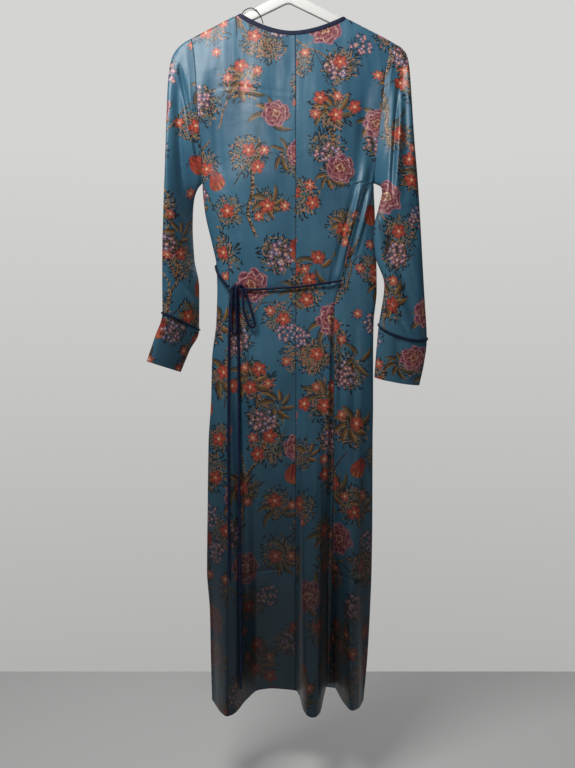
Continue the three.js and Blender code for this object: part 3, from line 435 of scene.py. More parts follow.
def armhole_shift(side, turn):
    """How far the armhole's own edge lies from the flat ring that starts the sleeve."""
    start = SLEEVES[side][0]
    row = mix(UNDERARM_ROW, SHOULDER_ROW, (1 + np.cos(turn)) / 2)
    hole = body_surface(np.full_like(turn, SIDE_SIGN[side] * math.pi / 2), row, fine=False)
    hole[..., 1] = -np.sign(np.sin(turn)) * np.abs(hole[..., 1])
    outer, inner = np.array([start[1], 0, start[3]]), np.array([start[4], 0, start[6]])
    ring = (outer + inner) / 2 + (outer - inner) / 2 * np.cos(turn)[..., None]
    ring[..., 1] = -start[7] * ring_profile(turn)
    return hole - ring


def sleeve_surface(side, turn, at, fine=True):
    """Points of the sleeve's cloth.

    Each ring is a flattened round between its outer and inner ends, with turn 0 at the outer end and a
    quarter turn at the near side. The first ring is the armhole, and the next ones pass smoothly from it.
    """
    rows, sign = SLEEVES[side], SIDE_SIGN[side]
    outer = np.stack([curve_through(rows, c, at) for c in (1, 2, 3)], axis=-1)
    inner = np.stack([curve_through(rows, c, at) for c in (4, 5, 6)], axis=-1)
    reach = (outer - inner) / 2
    along = unit(np.stack([sign * reach[..., 2], np.zeros_like(at), -sign * reach[..., 0]], axis=-1))
    near = unit(np.cross(along, reach)) * sign
    sine = np.sin(turn)
    thick = curve_through(rows, 7, at) * ring_profile(turn)
    for start, end, angle0, angle1, half, depth in SLEEVE_FOLDS[side]:
        t = clamp01((at - start) / (end - start))
        angle = np.radians(mix(angle0, angle1, t))
        fold = depth * np.sin(np.pi * t) ** 0.7 * bump((turn - angle) / math.radians(half))
        thick = thick - np.where(sine > 0, fold, 0.0)
    point = (outer + inner) / 2 + reach * np.cos(turn)[..., None] + near * thick[..., None]
    point[..., 2] -= curve_through(rows, 8, at) * sine
    leaving = 1 - smooth(at / SLEEVE_BLEND)
    point = point + armhole_shift(side, turn) * leaving[..., None]
    if fine:
        x, z = point[..., 0], point[..., 2]
        settled = smooth(at / 1.5) * (1 - 0.75 * smooth((at - CUFF_AT + 0.5) / 0.5))
        near_side = creases(SLEEVE_CREASES[side], x, z) + soft_unevenness(x, z, 21)
        far_side = creases(SLEEVE_CREASES[side], x + 6, z + 22) + soft_unevenness(x, z, 22)
        point[..., 1] += settled * (smooth(sine * 1.6) * near_side - smooth(-sine * 1.6) * far_side)
    return point


# Meshes from grids

def grid_normals(points, wrapped):
    """Unit normals of a grid of points, from the differences of neighbours along rows and columns."""
    if wrapped:
        open_grid = points[:, :-1]
        across = np.roll(open_grid, -1, axis=1) - np.roll(open_grid, 1, axis=1)
        across = np.concatenate([across, across[:, :1]], axis=1)
    else:
        across = np.gradient(points, axis=1)
    return unit(np.cross(np.gradient(points, axis=0), across))


def quads_of(rows, columns):
    """Corner indices of the quads of a grid of rows by columns points."""
    i, j = np.meshgrid(np.arange(rows - 1), np.arange(columns - 1), indexing="ij")
    first = (i * columns + j).ravel()
    return np.stack([first, first + columns, first + columns + 1, first + 1], axis=1)


def new_mesh(name, points, quads, caps=()):
    """A smooth mesh of quads and of the faces in `caps`, of any number of corners. Points are in mm."""
    mesh = bpy.data.meshes.new(name)
    mesh.vertices.add(len(points))
    mesh.vertices.foreach_set("co", np.asarray(points, np.float32).ravel() * MM)
    corners = np.concatenate([quads.ravel(), *caps]).astype(np.int32)
    sizes = np.array([4] * len(quads) + [len(cap) for cap in caps])
    mesh.loops.add(len(corners))
    mesh.loops.foreach_set("vertex_index", corners)
    mesh.polygons.add(len(sizes))
    mesh.polygons.foreach_set("loop_start", (np.cumsum(sizes) - sizes).astype(np.int32))
    mesh.update(calc_edges=True)
    mesh.shade_smooth()
    piece = bpy.data.objects.new(name, mesh)
    bpy.context.scene.collection.objects.link(piece)
    return piece


def corner_values(mesh, name, values):
    """Stores three numbers for each face corner under a name that the finishes read."""
    layer = mesh.attributes.new(name, "FLOAT_VECTOR", "CORNER")
    layer.data.foreach_set("vector", np.ascontiguousarray(values, np.float32).ravel())


def cloth_piece(name, outer, cut, wrapped, print_seed):
    """A closed cloth wall: a grid of outer points, the same grid moved in by the satin's thickness, and rims.

    `cut` holds each point's place in the cut cloth, across and down, and its distances from the nearest side
    edge and from the lower edge. On a wrapped grid the last column repeats the first.
    """
    rows, columns = outer.shape[:2]
    inner = outer - grid_normals(outer, wrapped) * SHELL
    real = columns - 1 if wrapped else columns
    count = rows * columns
    sheet = quads_of(rows, columns)
    top, bottom = np.arange(columns), np.arange(columns) + (rows - 1) * columns
    left, right = np.arange(rows) * columns, np.arange(rows) * columns + columns - 1
    rims = []
    for line in (top, bottom[::-1], left[::-1], right)[:2 if wrapped else 4]:
        rims.append(np.stack([line[:-1], line[1:], line[1:] + count, line[:-1] + count], axis=1))
    corners = np.concatenate([sheet, sheet[:, ::-1] + count, *rims]).ravel()
    layer, i, j = np.meshgrid(np.arange(2), np.arange(rows), np.arange(columns), indexing="ij")
    vertex = ((layer * rows + i) * real + j % real).ravel()
    points = np.concatenate([outer[:, :real].reshape(-1, 3), inner[:, :real].reshape(-1, 3)])
    piece = new_mesh(name, points, vertex[corners].reshape(-1, 4))
    soft = np.arange(len(corners) // 4) < 2 * len(sheet)
    piece.data.polygons.foreach_set("use_smooth", soft)
    both = np.concatenate([cut.reshape(-1, 4)] * 2)
    uv = piece.data.uv_layers.new(name="cut")
    uv.data.foreach_set("uv", np.ascontiguousarray(both[corners, :2] * MM, np.float32).ravel())
    inside = np.repeat([0.0, 1.0], count)
    corner_values(piece.data, "edges", np.stack([both[:, 2], both[:, 3], inside], axis=1)[corners])
    for kind, values in print_places(cut, print_seed).items():
        corner_values(piece.data, kind, np.concatenate([values.reshape(-1, 3)] * 2)[corners])
    return piece


def shares(count, edge=0.004):
    """Shares from 0 to 1 in equal steps, with one more close to each end."""
    line = np.linspace(0, 1, count)
    return np.concatenate([[0, edge], line[1:-1], [1 - edge, 1]])


def through_points(points, step):
    """A smooth line through a route's points: a centripetal Catmull-Rom curve, sampled about a step apart."""
    points = np.array(points, float)
    ends = np.stack([2 * points[0] - points[1], 2 * points[-1] - points[-2]])
    p = np.concatenate([ends[:1], points, ends[1:]])
    knots = np.concatenate([[0], np.cumsum(np.linalg.norm(np.diff(p, axis=0), axis=1) ** 0.5)])
    line = []
    for i in range(1, len(p) - 2):
        t0, t1, t2, t3 = knots[i - 1:i + 3]
        number = max(2, int(round(np.linalg.norm(p[i + 1] - p[i]) / step)))
        t = np.linspace(t1, t2, number, endpoint=False)[:, None]
        a1 = (t1 - t) / (t1 - t0) * p[i - 1] + (t - t0) / (t1 - t0) * p[i]
        a2 = (t2 - t) / (t2 - t1) * p[i] + (t - t1) / (t2 - t1) * p[i + 1]
        a3 = (t3 - t) / (t3 - t2) * p[i + 1] + (t - t2) / (t3 - t2) * p[i + 2]
        b1 = (t2 - t) / (t2 - t0) * a1 + (t - t0) / (t2 - t0) * a2
        b2 = (t3 - t) / (t3 - t1) * a2 + (t - t1) / (t3 - t1) * a3
        line.append((t2 - t) / (t2 - t1) * b1 + (t - t1) / (t2 - t1) * b2)
    return np.concatenate([*line, points[-1:]])


def carried_frames(line, closed=False):
    """Two unit directions across a line at each of its points, carried along it without twisting."""
    ahead = np.gradient(line, axis=0)
    if closed:
        ahead = np.roll(line, -1, axis=0) - np.roll(line, 1, axis=0)
    ahead = unit(ahead)
    side = np.cross(ahead[0], [0.31, -0.9, 0.23])
    first = []
    for direction in ahead:
        side = unit(side - direction * (side @ direction))
        first.append(side)
    first = np.array(first)
    return first, np.cross(ahead, first)


def tube_mesh(name, line, out, up, section, closed=False):
    """A tube through sections of (out, up) points at a line's points, with flat ends unless it is closed."""
    rows, sides = section.shape[:2]
    points = line[:, None] + out[:, None] * section[..., :1] + up[:, None] * section[..., 1:]
    i, j = np.meshgrid(np.arange(rows if closed else rows - 1), np.arange(sides), indexing="ij")
    a, b = i * sides + j, i * sides + (j + 1) % sides
    c, d = (i + 1) % rows * sides + (j + 1) % sides, (i + 1) % rows * sides + j
    quads = np.stack([a, b, c, d], axis=-1).reshape(-1, 4)
    caps = [] if closed else [np.arange(sides)[::-1], np.arange(sides) + (rows - 1) * sides]
    return new_mesh(name, points.reshape(-1, 3), quads, caps)


def sweep(name, line, out, up, section, closed=False):
    """A section carried along a line. Its open ends are rounded off."""
    section = np.broadcast_to(section, (len(line),) + np.shape(section)[-2:])
    if not closed:
        reach = float(np.abs(section[0]).max())
        ahead = unit(np.gradient(line, axis=0))
        turn = np.linspace(0, math.pi / 2, 6)[1:]
        small, on = np.maximum(np.cos(turn), 0.08), np.sin(turn) * reach
        before = (line[0] - ahead[0] * on[:, None])[::-1]
        after = line[-1] + ahead[-1] * on[:, None]
        line = np.concatenate([before, line, after])
        out, up = (np.concatenate([d[:1]] * 5 + [d] + [d[-1:]] * 5) for d in (out, up))
        section = np.concatenate(
            [section[:1] * small[::-1, None, None], section, section[-1:] * small[:, None, None]])
    return tube_mesh(name, line, out, up, section, closed)


def rounded(half_out, half_up, power=1.0, sides=16):
    """A section's points: an ellipse, or with a power under 1 a rounded oblong."""
    turn = np.arange(sides) * 2 * math.pi / sides
    cosine, sine = np.cos(turn), np.sin(turn)
    return np.stack([half_out * np.sign(cosine) * np.abs(cosine) ** power,
                     half_up * np.sign(sine) * np.abs(sine) ** power], axis=1)


def round_tube(name, line, radius, sides=16, closed=False):
    """A round cord or wire: a circle carried along a line."""
    out, up = carried_frames(line, closed)
    return sweep(name, line, out, up, rounded(radius, radius, sides=sides), closed)


# The print: loose sprays of flowers, leaves and twigs, laid out afresh for each cut piece

# Each motif's radius in millimetres
MOTIFS = {
    "branch": 104.0, "sprig": 62.0, "foliage": 42.0, "brush": 34.0, "leaves": 56.0, "fan": 46.0,
    "florets": 31.0, "peony": 32.0, "tulip": 30.0, "bud": 15.0, "bloom": 17.5,
}

# A spray's motifs: kind, place across, place down, turn in degrees, size
SPRAYS = {
    "tree": [
        ("branch", 4, 6, 74, 1.0), ("leaves", -36, -38, 10, 1.0), ("fan", 38, 20, 70, 1.0),
        ("foliage", -34, -32, 0, 1.0), ("brush", 34, 20, 0, 1.0), ("brush", -16, 66, 50, 1.0),
        ("leaves", -18, 76, 150, 0.9), ("fan", 20, -66, 30, 0.9), ("bloom", -42, -46, 0, 1.05),
        ("bud", -14, -54, 0, 1.1), ("bloom", -12, -28, 40, 1.0), ("bloom", 36, 20, 80, 1.05),
        ("bud", 62, 6, 10, 1.1), ("bloom", -16, 64, 0, 1.05), ("bud", -42, 80, 0, 1.0),
        ("bud", 34, 48, 30, 1.0), ("peony", 40, -80, 20, 1.0), ("foliage", 36, -66, 90, 0.8),
        ("tulip", -60, 26, 150, 0.95),
    ],
    "bouquet": [
        ("leaves", 0, 8, 0, 1.1), ("peony", -4, 4, 0, 1.15), ("foliage", 46, -44, 0, 1.0),
        ("fan", 60, -34, 110, 1.0), ("bloom", 42, -30, 0, 1.05), ("bud", 68, -46, 0, 1.1),
        ("bloom", 34, -62, 60, 1.05), ("florets", -52, -46, 0, 1.0), ("brush", -52, -46, 20, 1.25),
        ("foliage", 26, 64, 40, 0.9), ("bud", -36, 46, 0, 1.05), ("bloom", 24, 60, 0, 1.0),
        ("bloom", -60, 62, 20, 1.0), ("brush", -50, 58, 0, 1.0), ("sprig", -22, 40, 30, 1.0),
        ("florets", 56, 34, 60, 0.85),
    ],
    "cluster": [
        ("fan", 0, -2, 200, 1.2), ("foliage", 4, 0, 0, 1.1), ("bloom", 0, 9, 0, 1.05),
        ("bud", 29, 0, 0, 1.1), ("bloom", 14, -26, 30, 1.05), ("bud", -16, -20, 0, 1.05),
        ("bloom", -32, 12, 50, 1.0), ("florets", 36, 62, 0, 0.95), ("leaves", 56, 34, 20, 0.9),
        ("brush", 38, 58, 90, 1.2), ("sprig", 20, 34, 64, 1.0), ("peony", -62, 46, 60, 0.95),
        ("leaves", -58, 50, 20, 1.0), ("bud", 58, -44, 0, 1.0), ("brush", -34, -62, 0, 1.0),
        ("florets", -34, -62, 30, 0.9),
    ],
}
SPRAY_STEP = {"across": 162.0, "down": 184.0}
SPRAY_SPREAD = 1.14
SPRAY_SHIFT = {"across": 16.0, "down": 18.0}
SPRAY_TURN = 32.0
MOTIF_SHIFT = 4.0
MOTIF_TURN = 20.0


def print_layout(seed, low, high):
    """The motifs of one cut piece as rows kind, across, down, turn, size, seed.

    Sprays stand on a half-drop lattice, each a little shifted and turned, every second one mirrored.
    """
    draw = np.random.default_rng(seed)

    def about(most):
        return draw.uniform(-most, most)

    shift = draw.uniform(-80, 80, 2)
    kinds = list(SPRAYS)
    found = []
    columns = range(int(low[0] // SPRAY_STEP["across"]) - 1, int(high[0] // SPRAY_STEP["across"]) + 3)
    lines = range(int(low[1] // SPRAY_STEP["down"]) - 1, int(high[1] // SPRAY_STEP["down"]) + 3)
    for column in columns:
        for line in lines:
            across = column * SPRAY_STEP["across"] + shift[0] + about(SPRAY_SHIFT["across"])
            down = (line + 0.5 * (column % 2)) * SPRAY_STEP["down"] + shift[1] + about(SPRAY_SHIFT["down"])
            turn = math.radians(about(SPRAY_TURN))
            side = 1 if (column + line) % 2 else -1
            for kind, dx, dy, angle, size in SPRAYS[kinds[(column * 2 + line) % len(kinds)]]:
                dx = dx * side * SPRAY_SPREAD + about(MOTIF_SHIFT)
                dy = dy * SPRAY_SPREAD + about(MOTIF_SHIFT)
                x = across + dx * math.cos(turn) - dy * math.sin(turn)
                y = down + dx * math.sin(turn) + dy * math.cos(turn)
                own = math.radians(angle + about(MOTIF_TURN)) * side + turn
                found.append((kind, x, y, own, size * MOTIFS[kind], draw.uniform(1.0, 2.0)))
    return found


def print_places(cut, seed):
    """For each kind of motif, every point's place in the nearest one: across and down as shares of its
    radius, and the motif's own number from 1 to 2. It is 0 at the corners of cells that two motifs share."""
    across, down = cut[..., 0], cut[..., 1]
    low, high = (across.min(), down.min()), (across.max(), down.max())
    layout = print_layout(seed, low, high)
    result = {}
    for kind in MOTIFS:
        kept = []
        for motif in (m for m in layout if m[0] == kind):
            if all(math.hypot(motif[1] - k[1], motif[2] - k[2]) > motif[4] + k[4] for k in kept):
                kept.append(motif)
        best = np.full(across.shape, np.inf)
        owner = np.full(across.shape, -1)
        values = np.zeros(across.shape + (3,))
        for number, motif in enumerate(kept):
            x, y, turn, radius, own = motif[1:]
            u = ((across - x) * math.cos(turn) + (down - y) * math.sin(turn)) / radius
            v = (-(across - x) * math.sin(turn) + (down - y) * math.cos(turn)) / radius
            away = np.hypot(u, v)
            nearer = away < best
            best = np.where(nearer, away, best)
            owner = np.where(nearer, number, owner)
            values[nearer] = np.stack([u, v, np.full_like(u, own)], axis=-1)[nearer]
        mixed = np.zeros(across.shape, bool)
        square = np.stack([owner[:-1, :-1], owner[1:, :-1], owner[:-1, 1:], owner[1:, 1:]])
        split = square.max(0) != square.min(0)
        for rows in (slice(0, -1), slice(1, None)):
            for columns in (slice(0, -1), slice(1, None)):
                mixed[rows, columns] |= split
        values[..., 2] = np.where(mixed, 0.0, values[..., 2])
        result[kind] = values
    return result


# The body's panels

def body_rows():
    """Heights of the body's points: close together round the shoulder, at the underarm and at the hem."""
    turn = np.linspace(0, math.pi / 2, 9)
    shoulder = SHOULDER_ROW - SHOULDER_TURN * (1 - np.cos(turn))
    upper = np.linspace(SHOULDER_ROW - SHOULDER_TURN, UNDERARM_ROW + 4, 74)[1:]
    underarm = UNDERARM_ROW + np.array([2.4, 1.2, 0.4, 0])
    skirt = np.linspace(UNDERARM_ROW, HEM_ROW + 12, 268)[1:]
    hem = HEM_ROW + np.array([10, 8, 6, 4, 2.2, 1, 0])
    return np.concatenate([shoulder, upper, underarm, skirt, hem])


ROWS = body_rows()
ON = 1e-4  # keeps a back's edge on the back and a front's on the front


def panel_grid(side, on_back, columns):
    """Points of one panel and its cut, from its left edge to its right edge as seen from outside the robe."""
    rows, sign = ROWS[:, None], SIDE_SIGN[side]
    seam = seam_angle(side, rows)
    if on_back:
        other = angle_at(CENTRE_BACK, rows)
        seam = seam - sign * ON
    else:
        edge = np.interp(-rows, -FRONT_EDGES[:, 0], FRONT_EDGES[:, 1 if side == "left" else 2])
        other = angle_at(edge, rows, sign)
        seam = seam + sign * ON
    angle = mix(np.minimum(seam, other), np.maximum(seam, other), shares(columns)[None, :])
    rows = np.broadcast_to(rows, angle.shape)
    points = body_surface(angle, rows, UNDERLAP["inset"] if (side, on_back) == ("left", False) else 0.0)
    steps = np.linalg.norm(np.diff(points[..., :2], axis=1), axis=-1)
    across = np.concatenate([np.zeros((len(ROWS), 1)), np.cumsum(steps, axis=1)], axis=1)
    width = across[:, -1:]
    sides = np.minimum(across, width - across)
    if on_back:
        across = across - (width if side == "left" else 0)
    else:
        across = across - width / 2
    above = rows - HEM_ROW
    return points, np.stack([across, -points[..., 2], sides, above], axis=-1)


# The sleeves and cuffs

def tube_grid(side, along, columns):
    """Points of a stretch of sleeve or cuff and its cut. Near and far sides are each laid flat from their
    middles, and meet at the outer fold."""
    around = np.linspace(-math.pi, math.pi, columns)
    turn, at = np.meshgrid(around, along)
    points = sleeve_surface(side, turn, at)
    rows = SLEEVES[side]
    outer, inner = (
        np.stack([curve_through(rows, c, at) for c in pair], axis=-1) for pair in ((1, 3), (4, 6)))
    middle, direction = (outer + inner) / 2, unit(outer - inner)
    steps = np.linalg.norm(np.diff(points, axis=1), axis=-1)
    total = np.concatenate([np.zeros((len(along), 1)), np.cumsum(steps, axis=1)], axis=1)
    quarter, half = (columns - 1) // 4, (columns - 1) // 2
    near, far = total[:, half + quarter:half + quarter + 1], total[:, quarter:quarter + 1]
    fold, last = total[:, half:half + 1], total[:, -1:]
    on_near = turn >= 0
    out_share = (near - fold) / (fold - far)
    in_share = (last - near) / far
    from_far = total - far
    flat = np.where(on_near, near - total, from_far * np.where(from_far > 0, out_share, in_share))
    place = middle + direction * flat[..., None]
    seam_away = np.minimum(total, last - total)
    steps = np.linalg.norm(np.diff(points, axis=0), axis=-1)
    down = np.concatenate([np.zeros((1, columns)), np.cumsum(steps, axis=0)])
    cut = np.stack([place[..., 0], -place[..., 1], seam_away, down[-1:] - down], axis=-1)
    if side == "right":
        points, cut = points[:, ::-1], cut[:, ::-1]
    return points, cut


# The navy trims

def cuff_piping(side):
    """The piping's line round the seam between sleeve and cuff, with its directions."""
    turn = np.linspace(-math.pi, math.pi, 145)[:-1]
    offsets = np.array([-0.02, 0.0, 0.02])[:, None]
    turns, at = np.broadcast_arrays(turn[None, :], CUFF_AT + offsets)
    grid = sleeve_surface(side, turns, at)
    wrapped = np.concatenate([grid, grid[:, :1]], axis=1)
    up = grid_normals(wrapped, True)[1, :-1] * -SIDE_SIGN[side]
    onward = unit(grid[2] - grid[0])
    return grid[1] + up * 0.9, onward, up


def resampled(line, others, step):
    """The line's points, and values that go with them, a step apart and gently smoothed."""
    reach = np.concatenate([[0], np.cumsum(np.linalg.norm(np.diff(line, axis=0), axis=1))])
    at = np.linspace(0, reach[-1], int(reach[-1] / step) + 1)
    result = []
    for values in (line, others):
        values = np.stack([np.interp(at, reach, values[:, c]) for c in range(3)], axis=1)
        for smoothing in range(4):
            values[1:-1] = values[:-2] / 4 + values[1:-1] / 2 + values[2:] / 4
        result.append(values)
    return result


def binding_line(grids):
    """Up the overlap's edge from the waist, round the back of the neck and down the underlap's edge."""
    shown = ROWS > WAIST_ROW
    edges = []
    for name in ("front_right", "back_right", "back_left", "front_left"):
        both = grids[name], grid_normals(grids[name], False)
        if name == "front_right":
            edges.append([grid[shown, -1][::-1] for grid in both])
        elif name == "front_left":
            edges.append([grid[shown, 0] for grid in both])
        else:
            x = grids[name][0, ::-1, 0]
            in_neck = (x > NECK["left"]) & (x < NECK["right"])
            edges.append([grid[0, ::-1][in_neck] for grid in both])
    line, up = (np.concatenate(parts) for parts in zip(*edges))
    return resampled(line, up, 3.0)


KNOT_WRAPS = [
    # radius across, radius up, wire, lean in degrees, shift across, shift up
    (4.6, 4.1, 2.5, 84, 0.4, 0.2), (4.2, 4.3, 2.4, 62, -3.6, -0.3), (5.6, 3.0, 2.3, 14, 1.6, -2.2),
    (4.0, 2.6, 2.2, -18, 3.4, 1.8),
]


def knot_pieces():
    """The knot: four short rounded wraps of the tie pressed into each other."""
    made = []
    turn = np.linspace(0, 2 * math.pi, 41)[:-1]
    for number, (wide, high, wire, lean, dx, dz) in enumerate(KNOT_WRAPS):
        a = math.radians(lean)
        u, v = wide * np.cos(turn), high * np.sin(turn)
        line = np.stack([KNOT["x"] + dx + u * math.cos(a), KNOT["y"] + v * 0.75 + 0.8 * np.sin(2 * turn),
                         KNOT["z"] + dz + u * math.sin(a) + v * 0.35], axis=1)
        made.append(round_tube(f"knot_wrap_{number + 1}", line, wire, 14, closed=True))
    return made


# The hanger

def hanger_arms():
    """The arms: a flat bar with rounded edges, deepest in the middle and round at both ends."""
    slope = math.atan(SHOULDER_SLOPE)
    end_x, radius = HANGER["end_x"], HANGER["end_radius"]

    def upper_edge(x):
        return SHOULDER_PEAK - HANGER["drop"] - SHOULDER_SLOPE * np.maximum(np.abs(x), HANGER["peak"])

    centre_z = float(upper_edge(end_x)) - radius / math.cos(slope)
    bend = np.linspace(0, math.pi / 2, 14)
    tip = end_x + radius * np.sin(bend) * 0.999
    x = np.concatenate([-tip[::-1], np.linspace(-end_x, end_x, 121)[1:-1], tip])
    away = np.abs(x)
    past = clamp01((away - end_x) / radius)
    level = np.maximum(away - HANGER_UNDERSIDE["level_to"], 0)
    underside = HANGER_UNDERSIDE["height"] - level * HANGER_UNDERSIDE["slope"]
    round_end = centre_z + np.sqrt(np.maximum(radius**2 - (away - end_x) ** 2, 0))
    top = np.where(away > end_x - radius * math.sin(slope), round_end, upper_edge(x))
    low = np.where(away > end_x, centre_z - radius * np.sqrt(1 - past**2), underside)
    middle, half = (top + low) / 2, np.maximum((top - low) / 2, 0.3)
    thick = HANGER["half"] * np.sqrt(np.maximum(1 - (past * 0.97) ** 2, 0.03))
    line = np.stack([x, np.zeros_like(x), middle], axis=1)
    section = rounded(1, 1, power=0.45, sides=28)[None] * np.stack([thick, half], axis=1)[:, None, :]
    out, up = np.tile([0.0, 1.0, 0.0], (len(x), 1)), np.tile([0.0, 0.0, 1.0], (len(x), 1))
    return tube_mesh("hanger_bar", line, out, up, section)


def hanger_hook():
    """The hook: a round wire that rises from the middle of the arms into an arc."""
    reach = HOOK["inner"] + HOOK["wire"]
    foot = SHOULDER_PEAK - HANGER["drop"] - SHOULDER_SLOPE * HANGER["peak"] - 4
    route = [(0, 0, foot), (0, 0, foot + 16), (0.5, 0, -HOOK["inner"] - reach - 9)]
    turn = np.radians(np.arange(-62, 206, 20.5))
    route += list(zip(reach * np.cos(turn), 0 * turn, reach * np.sin(turn) - HOOK["inner"]))
    return round_tube("hanger_wire_hook", through_points(route, 1.6), HOOK["wire"], 24)


# Building the pieces

PANELS = {
    # the panel's side, whether it is on the back, its points across and its print's seed
    "back_left": ("left", True, 62, 4), "back_right": ("right", True, 70, 9),
    "front_left": ("left", False, 92, 15), "front_right": ("right", False, 92, 22),
}
SLEEVE_PRINTS = {"left": 31, "right": 37}
CUFF_PRINTS = {"left": 81, "right": 87}
SLEEVE_RINGS = np.linspace(0, CUFF_AT, 150)
CUFF_RINGS = CUFF_END - np.concatenate([np.linspace(CUFF_END - CUFF_AT, 0.12, 28), [0.08, 0.04, 0.015, 0]])
POINTS_ROUND = 97


def build():
    """Makes all pieces, each under the name of the node that it replaces."""
    made, grids = {}, {}
    for name, (side, on_back, columns, seed) in PANELS.items():
        grids[name], cut = panel_grid(side, on_back, columns)
        made[name] = cloth_piece(f"{name}_satin", grids[name], cut, False, seed)
    for side in ("left", "right"):
        sleeve, cut = tube_grid(side, SLEEVE_RINGS, POINTS_ROUND)
        made[f"sleeve_{side}"] = cloth_piece(f"sleeve_{side}_satin", sleeve, cut, True, SLEEVE_PRINTS[side])
        cuff, cut = tube_grid(side, CUFF_RINGS, POINTS_ROUND)
        made[f"cuff_{side}"] = cloth_piece(f"cuff_{side}_satin", cuff, cut, True, CUFF_PRINTS[side])
        line, onward, up = cuff_piping(side)
        made[f"cuff_piping_{side}"] = sweep(
            f"piping_{side}", line, onward, up, rounded(PIPING, PIPING, sides=14), closed=True)
    line, up = binding_line(grids)
    ahead = unit(np.gradient(line, axis=0))
    out = unit(np.cross(ahead, up))
    line = line + out * BINDING["out"] - unit(np.cross(out, ahead)) * 0.45
    band = rounded(BINDING["width"] / 2, BINDING["thick"] / 2, power=0.6)
    made["neck_binding"] = sweep("neck_binding_band", line, out, unit(np.cross(out, ahead)), band)
    for name, route in (
        ("tie_across", TIE_ACROSS), ("tie_side", TIE_SIDE), ("bow_loop_left", BOW_LEFT),
        ("bow_loop_right", BOW_RIGHT), ("tie_tail_left", TAIL_LEFT), ("tie_tail_right", TAIL_RIGHT),
    ):
        made[name] = round_tube(f"{name}_cord", through_points(route, 2.0), TIE)
    made["hanging_loop"] = round_tube("hanging_loop_cord", through_points(HANGING_LOOP, 1.5), LOOP, 12)
    made["hanger_arms"] = hanger_arms()
    made["hanger_hook"] = hanger_hook()
    return made


made = build()
wraps = knot_pieces()
for node, piece in made.items():
    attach(piece, "root")
    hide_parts(node)
for number, wrap in enumerate(wraps):
    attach(wrap, "root")
    if number == 0:
        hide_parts("tie_knot")


# Finishes: node graphs, written as formulas

class Socket:
    """An output of a node, which can be reckoned with like a number."""

    def __init__(self, graph, output):
        self.graph, self.output = graph, output

    def __add__(self, other):
        return self.graph.math("ADD", self, other)

    def __sub__(self, other):
        return self.graph.math("SUBTRACT", self, other)

    def __rsub__(self, other):
        return self.graph.math("SUBTRACT", other, self)

    def __mul__(self, other):
        return self.graph.math("MULTIPLY", self, other)

    def __truediv__(self, other):
        return self.graph.math("DIVIDE", self, other)

    def __pow__(self, other):
        return self.graph.math("POWER", self, other)

    def __gt__(self, other):
        return self.graph.math("GREATER_THAN", self, other)

    def __lt__(self, other):
        return self.graph.math("LESS_THAN", self, other)

    __radd__ = __add__
    __rmul__ = __mul__


class Graph:
    """The node graph of one material."""

    def __init__(self, name, **constants):
        self.material = bpy.data.materials.new(name)
        self.material.use_nodes = True
        self.tree = self.material.node_tree
        self.shader = self.tree.nodes["Principled BSDF"]
        for socket, value in constants.items():
            self.shader.inputs[socket.replace("_", " ")].default_value = value

    def node(self, kind, inputs, output=0, **settings):
        made = self.tree.nodes.new("ShaderNode" + kind)
        for name, value in settings.items():
            setattr(made, name, value)
        for place, value in inputs.items():
            if isinstance(value, Socket):
                self.tree.links.new(value.output, made.inputs[place])
            else:
                made.inputs[place].default_value = value
        return Socket(self, made.outputs[output])

    def math(self, operation, *values):
        return self.node("Math", dict(enumerate(values)), operation=operation)

    def soft(self, value, low, high):
        """0 at `low` and 1 at `high`, passing smoothly between them."""
        return self.node("MapRange", {0: value, 1: low, 2: high}, interpolation_type="SMOOTHSTEP")

    def blend(self, share, a, b):
        return self.node("Mix", {0: share, 6: a, 7: b}, output=2, data_type="RGBA")

    def scaled(self, vector, by):
        return self.node("VectorMath", {0: vector, 1: by}, operation="MULTIPLY")

    def moved(self, vector, by):
        return self.node("VectorMath", {0: vector, 1: by}, operation="ADD")

    def length(self, vector):
        return self.node("VectorMath", {0: vector}, output="Value", operation="LENGTH")

    def parts(self, vector):
        split = self.node("SeparateXYZ", {0: vector})
        outputs = split.output.node.outputs
        return [Socket(self, outputs[i]) for i in range(3)]

    def together(self, x, y, z=0.0):
        return self.node("CombineXYZ", {0: x, 1: y, 2: z})

    def noise(self, vector, scale, detail=2.0, output="Fac"):
        return self.node("TexNoise", {"Vector": vector, "Scale": scale, "Detail": detail}, output=output)

    def chance(self, number):
        return self.node("TexWhiteNoise", {"W": number}, output="Value", noise_dimensions="1D")

    def attribute(self, name):
        return self.node("Attribute", {}, output="Vector", attribute_name=name)

    def connect(self, value, socket):
        self.tree.links.new(value.output, self.shader.inputs[socket])

    def bump(self, height, distance, strength=1.0):
        inputs = {"Height": height, "Distance": distance, "Strength": strength}
        self.connect(self.node("Bump", inputs, output="Normal"), "Normal")


def colour(hex_digits):
    """A linear colour from the digits of a screen colour."""
    channels = [int(hex_digits[i:i + 2], 16) / 255 for i in (0, 2, 4)]
    return tuple([((c + 0.055) / 1.055) ** 2.4 if c > 0.04045 else c / 12.92 for c in channels] + [1.0])


def painted(g, place, amount, size):
    """A motif's own coordinates, pushed about by noise, so that its outline looks painted by hand."""
    push = g.node("VectorMath", {0: g.noise(place, size, 2.0, output="Color"), 1: (0.5, 0.5, 0.5)},
                  operation="SUBTRACT")
    return g.node("VectorMath", {0: push, 1: (amount, amount, 0.0), 2: place}, operation="MULTIPLY_ADD")


def middle_distance(g, place):
    """Distance from a motif's middle, as a share of its radius."""
    return g.length(g.scaled(place, (1, 1, 0)))


def polar(g, place):
    """A motif's own number, and the distance from its middle and the angle there, in turns."""
    u, v, own = g.parts(place)
    return own, middle_distance(g, place), g.math("ARCTAN2", v, u) / (2 * math.pi)


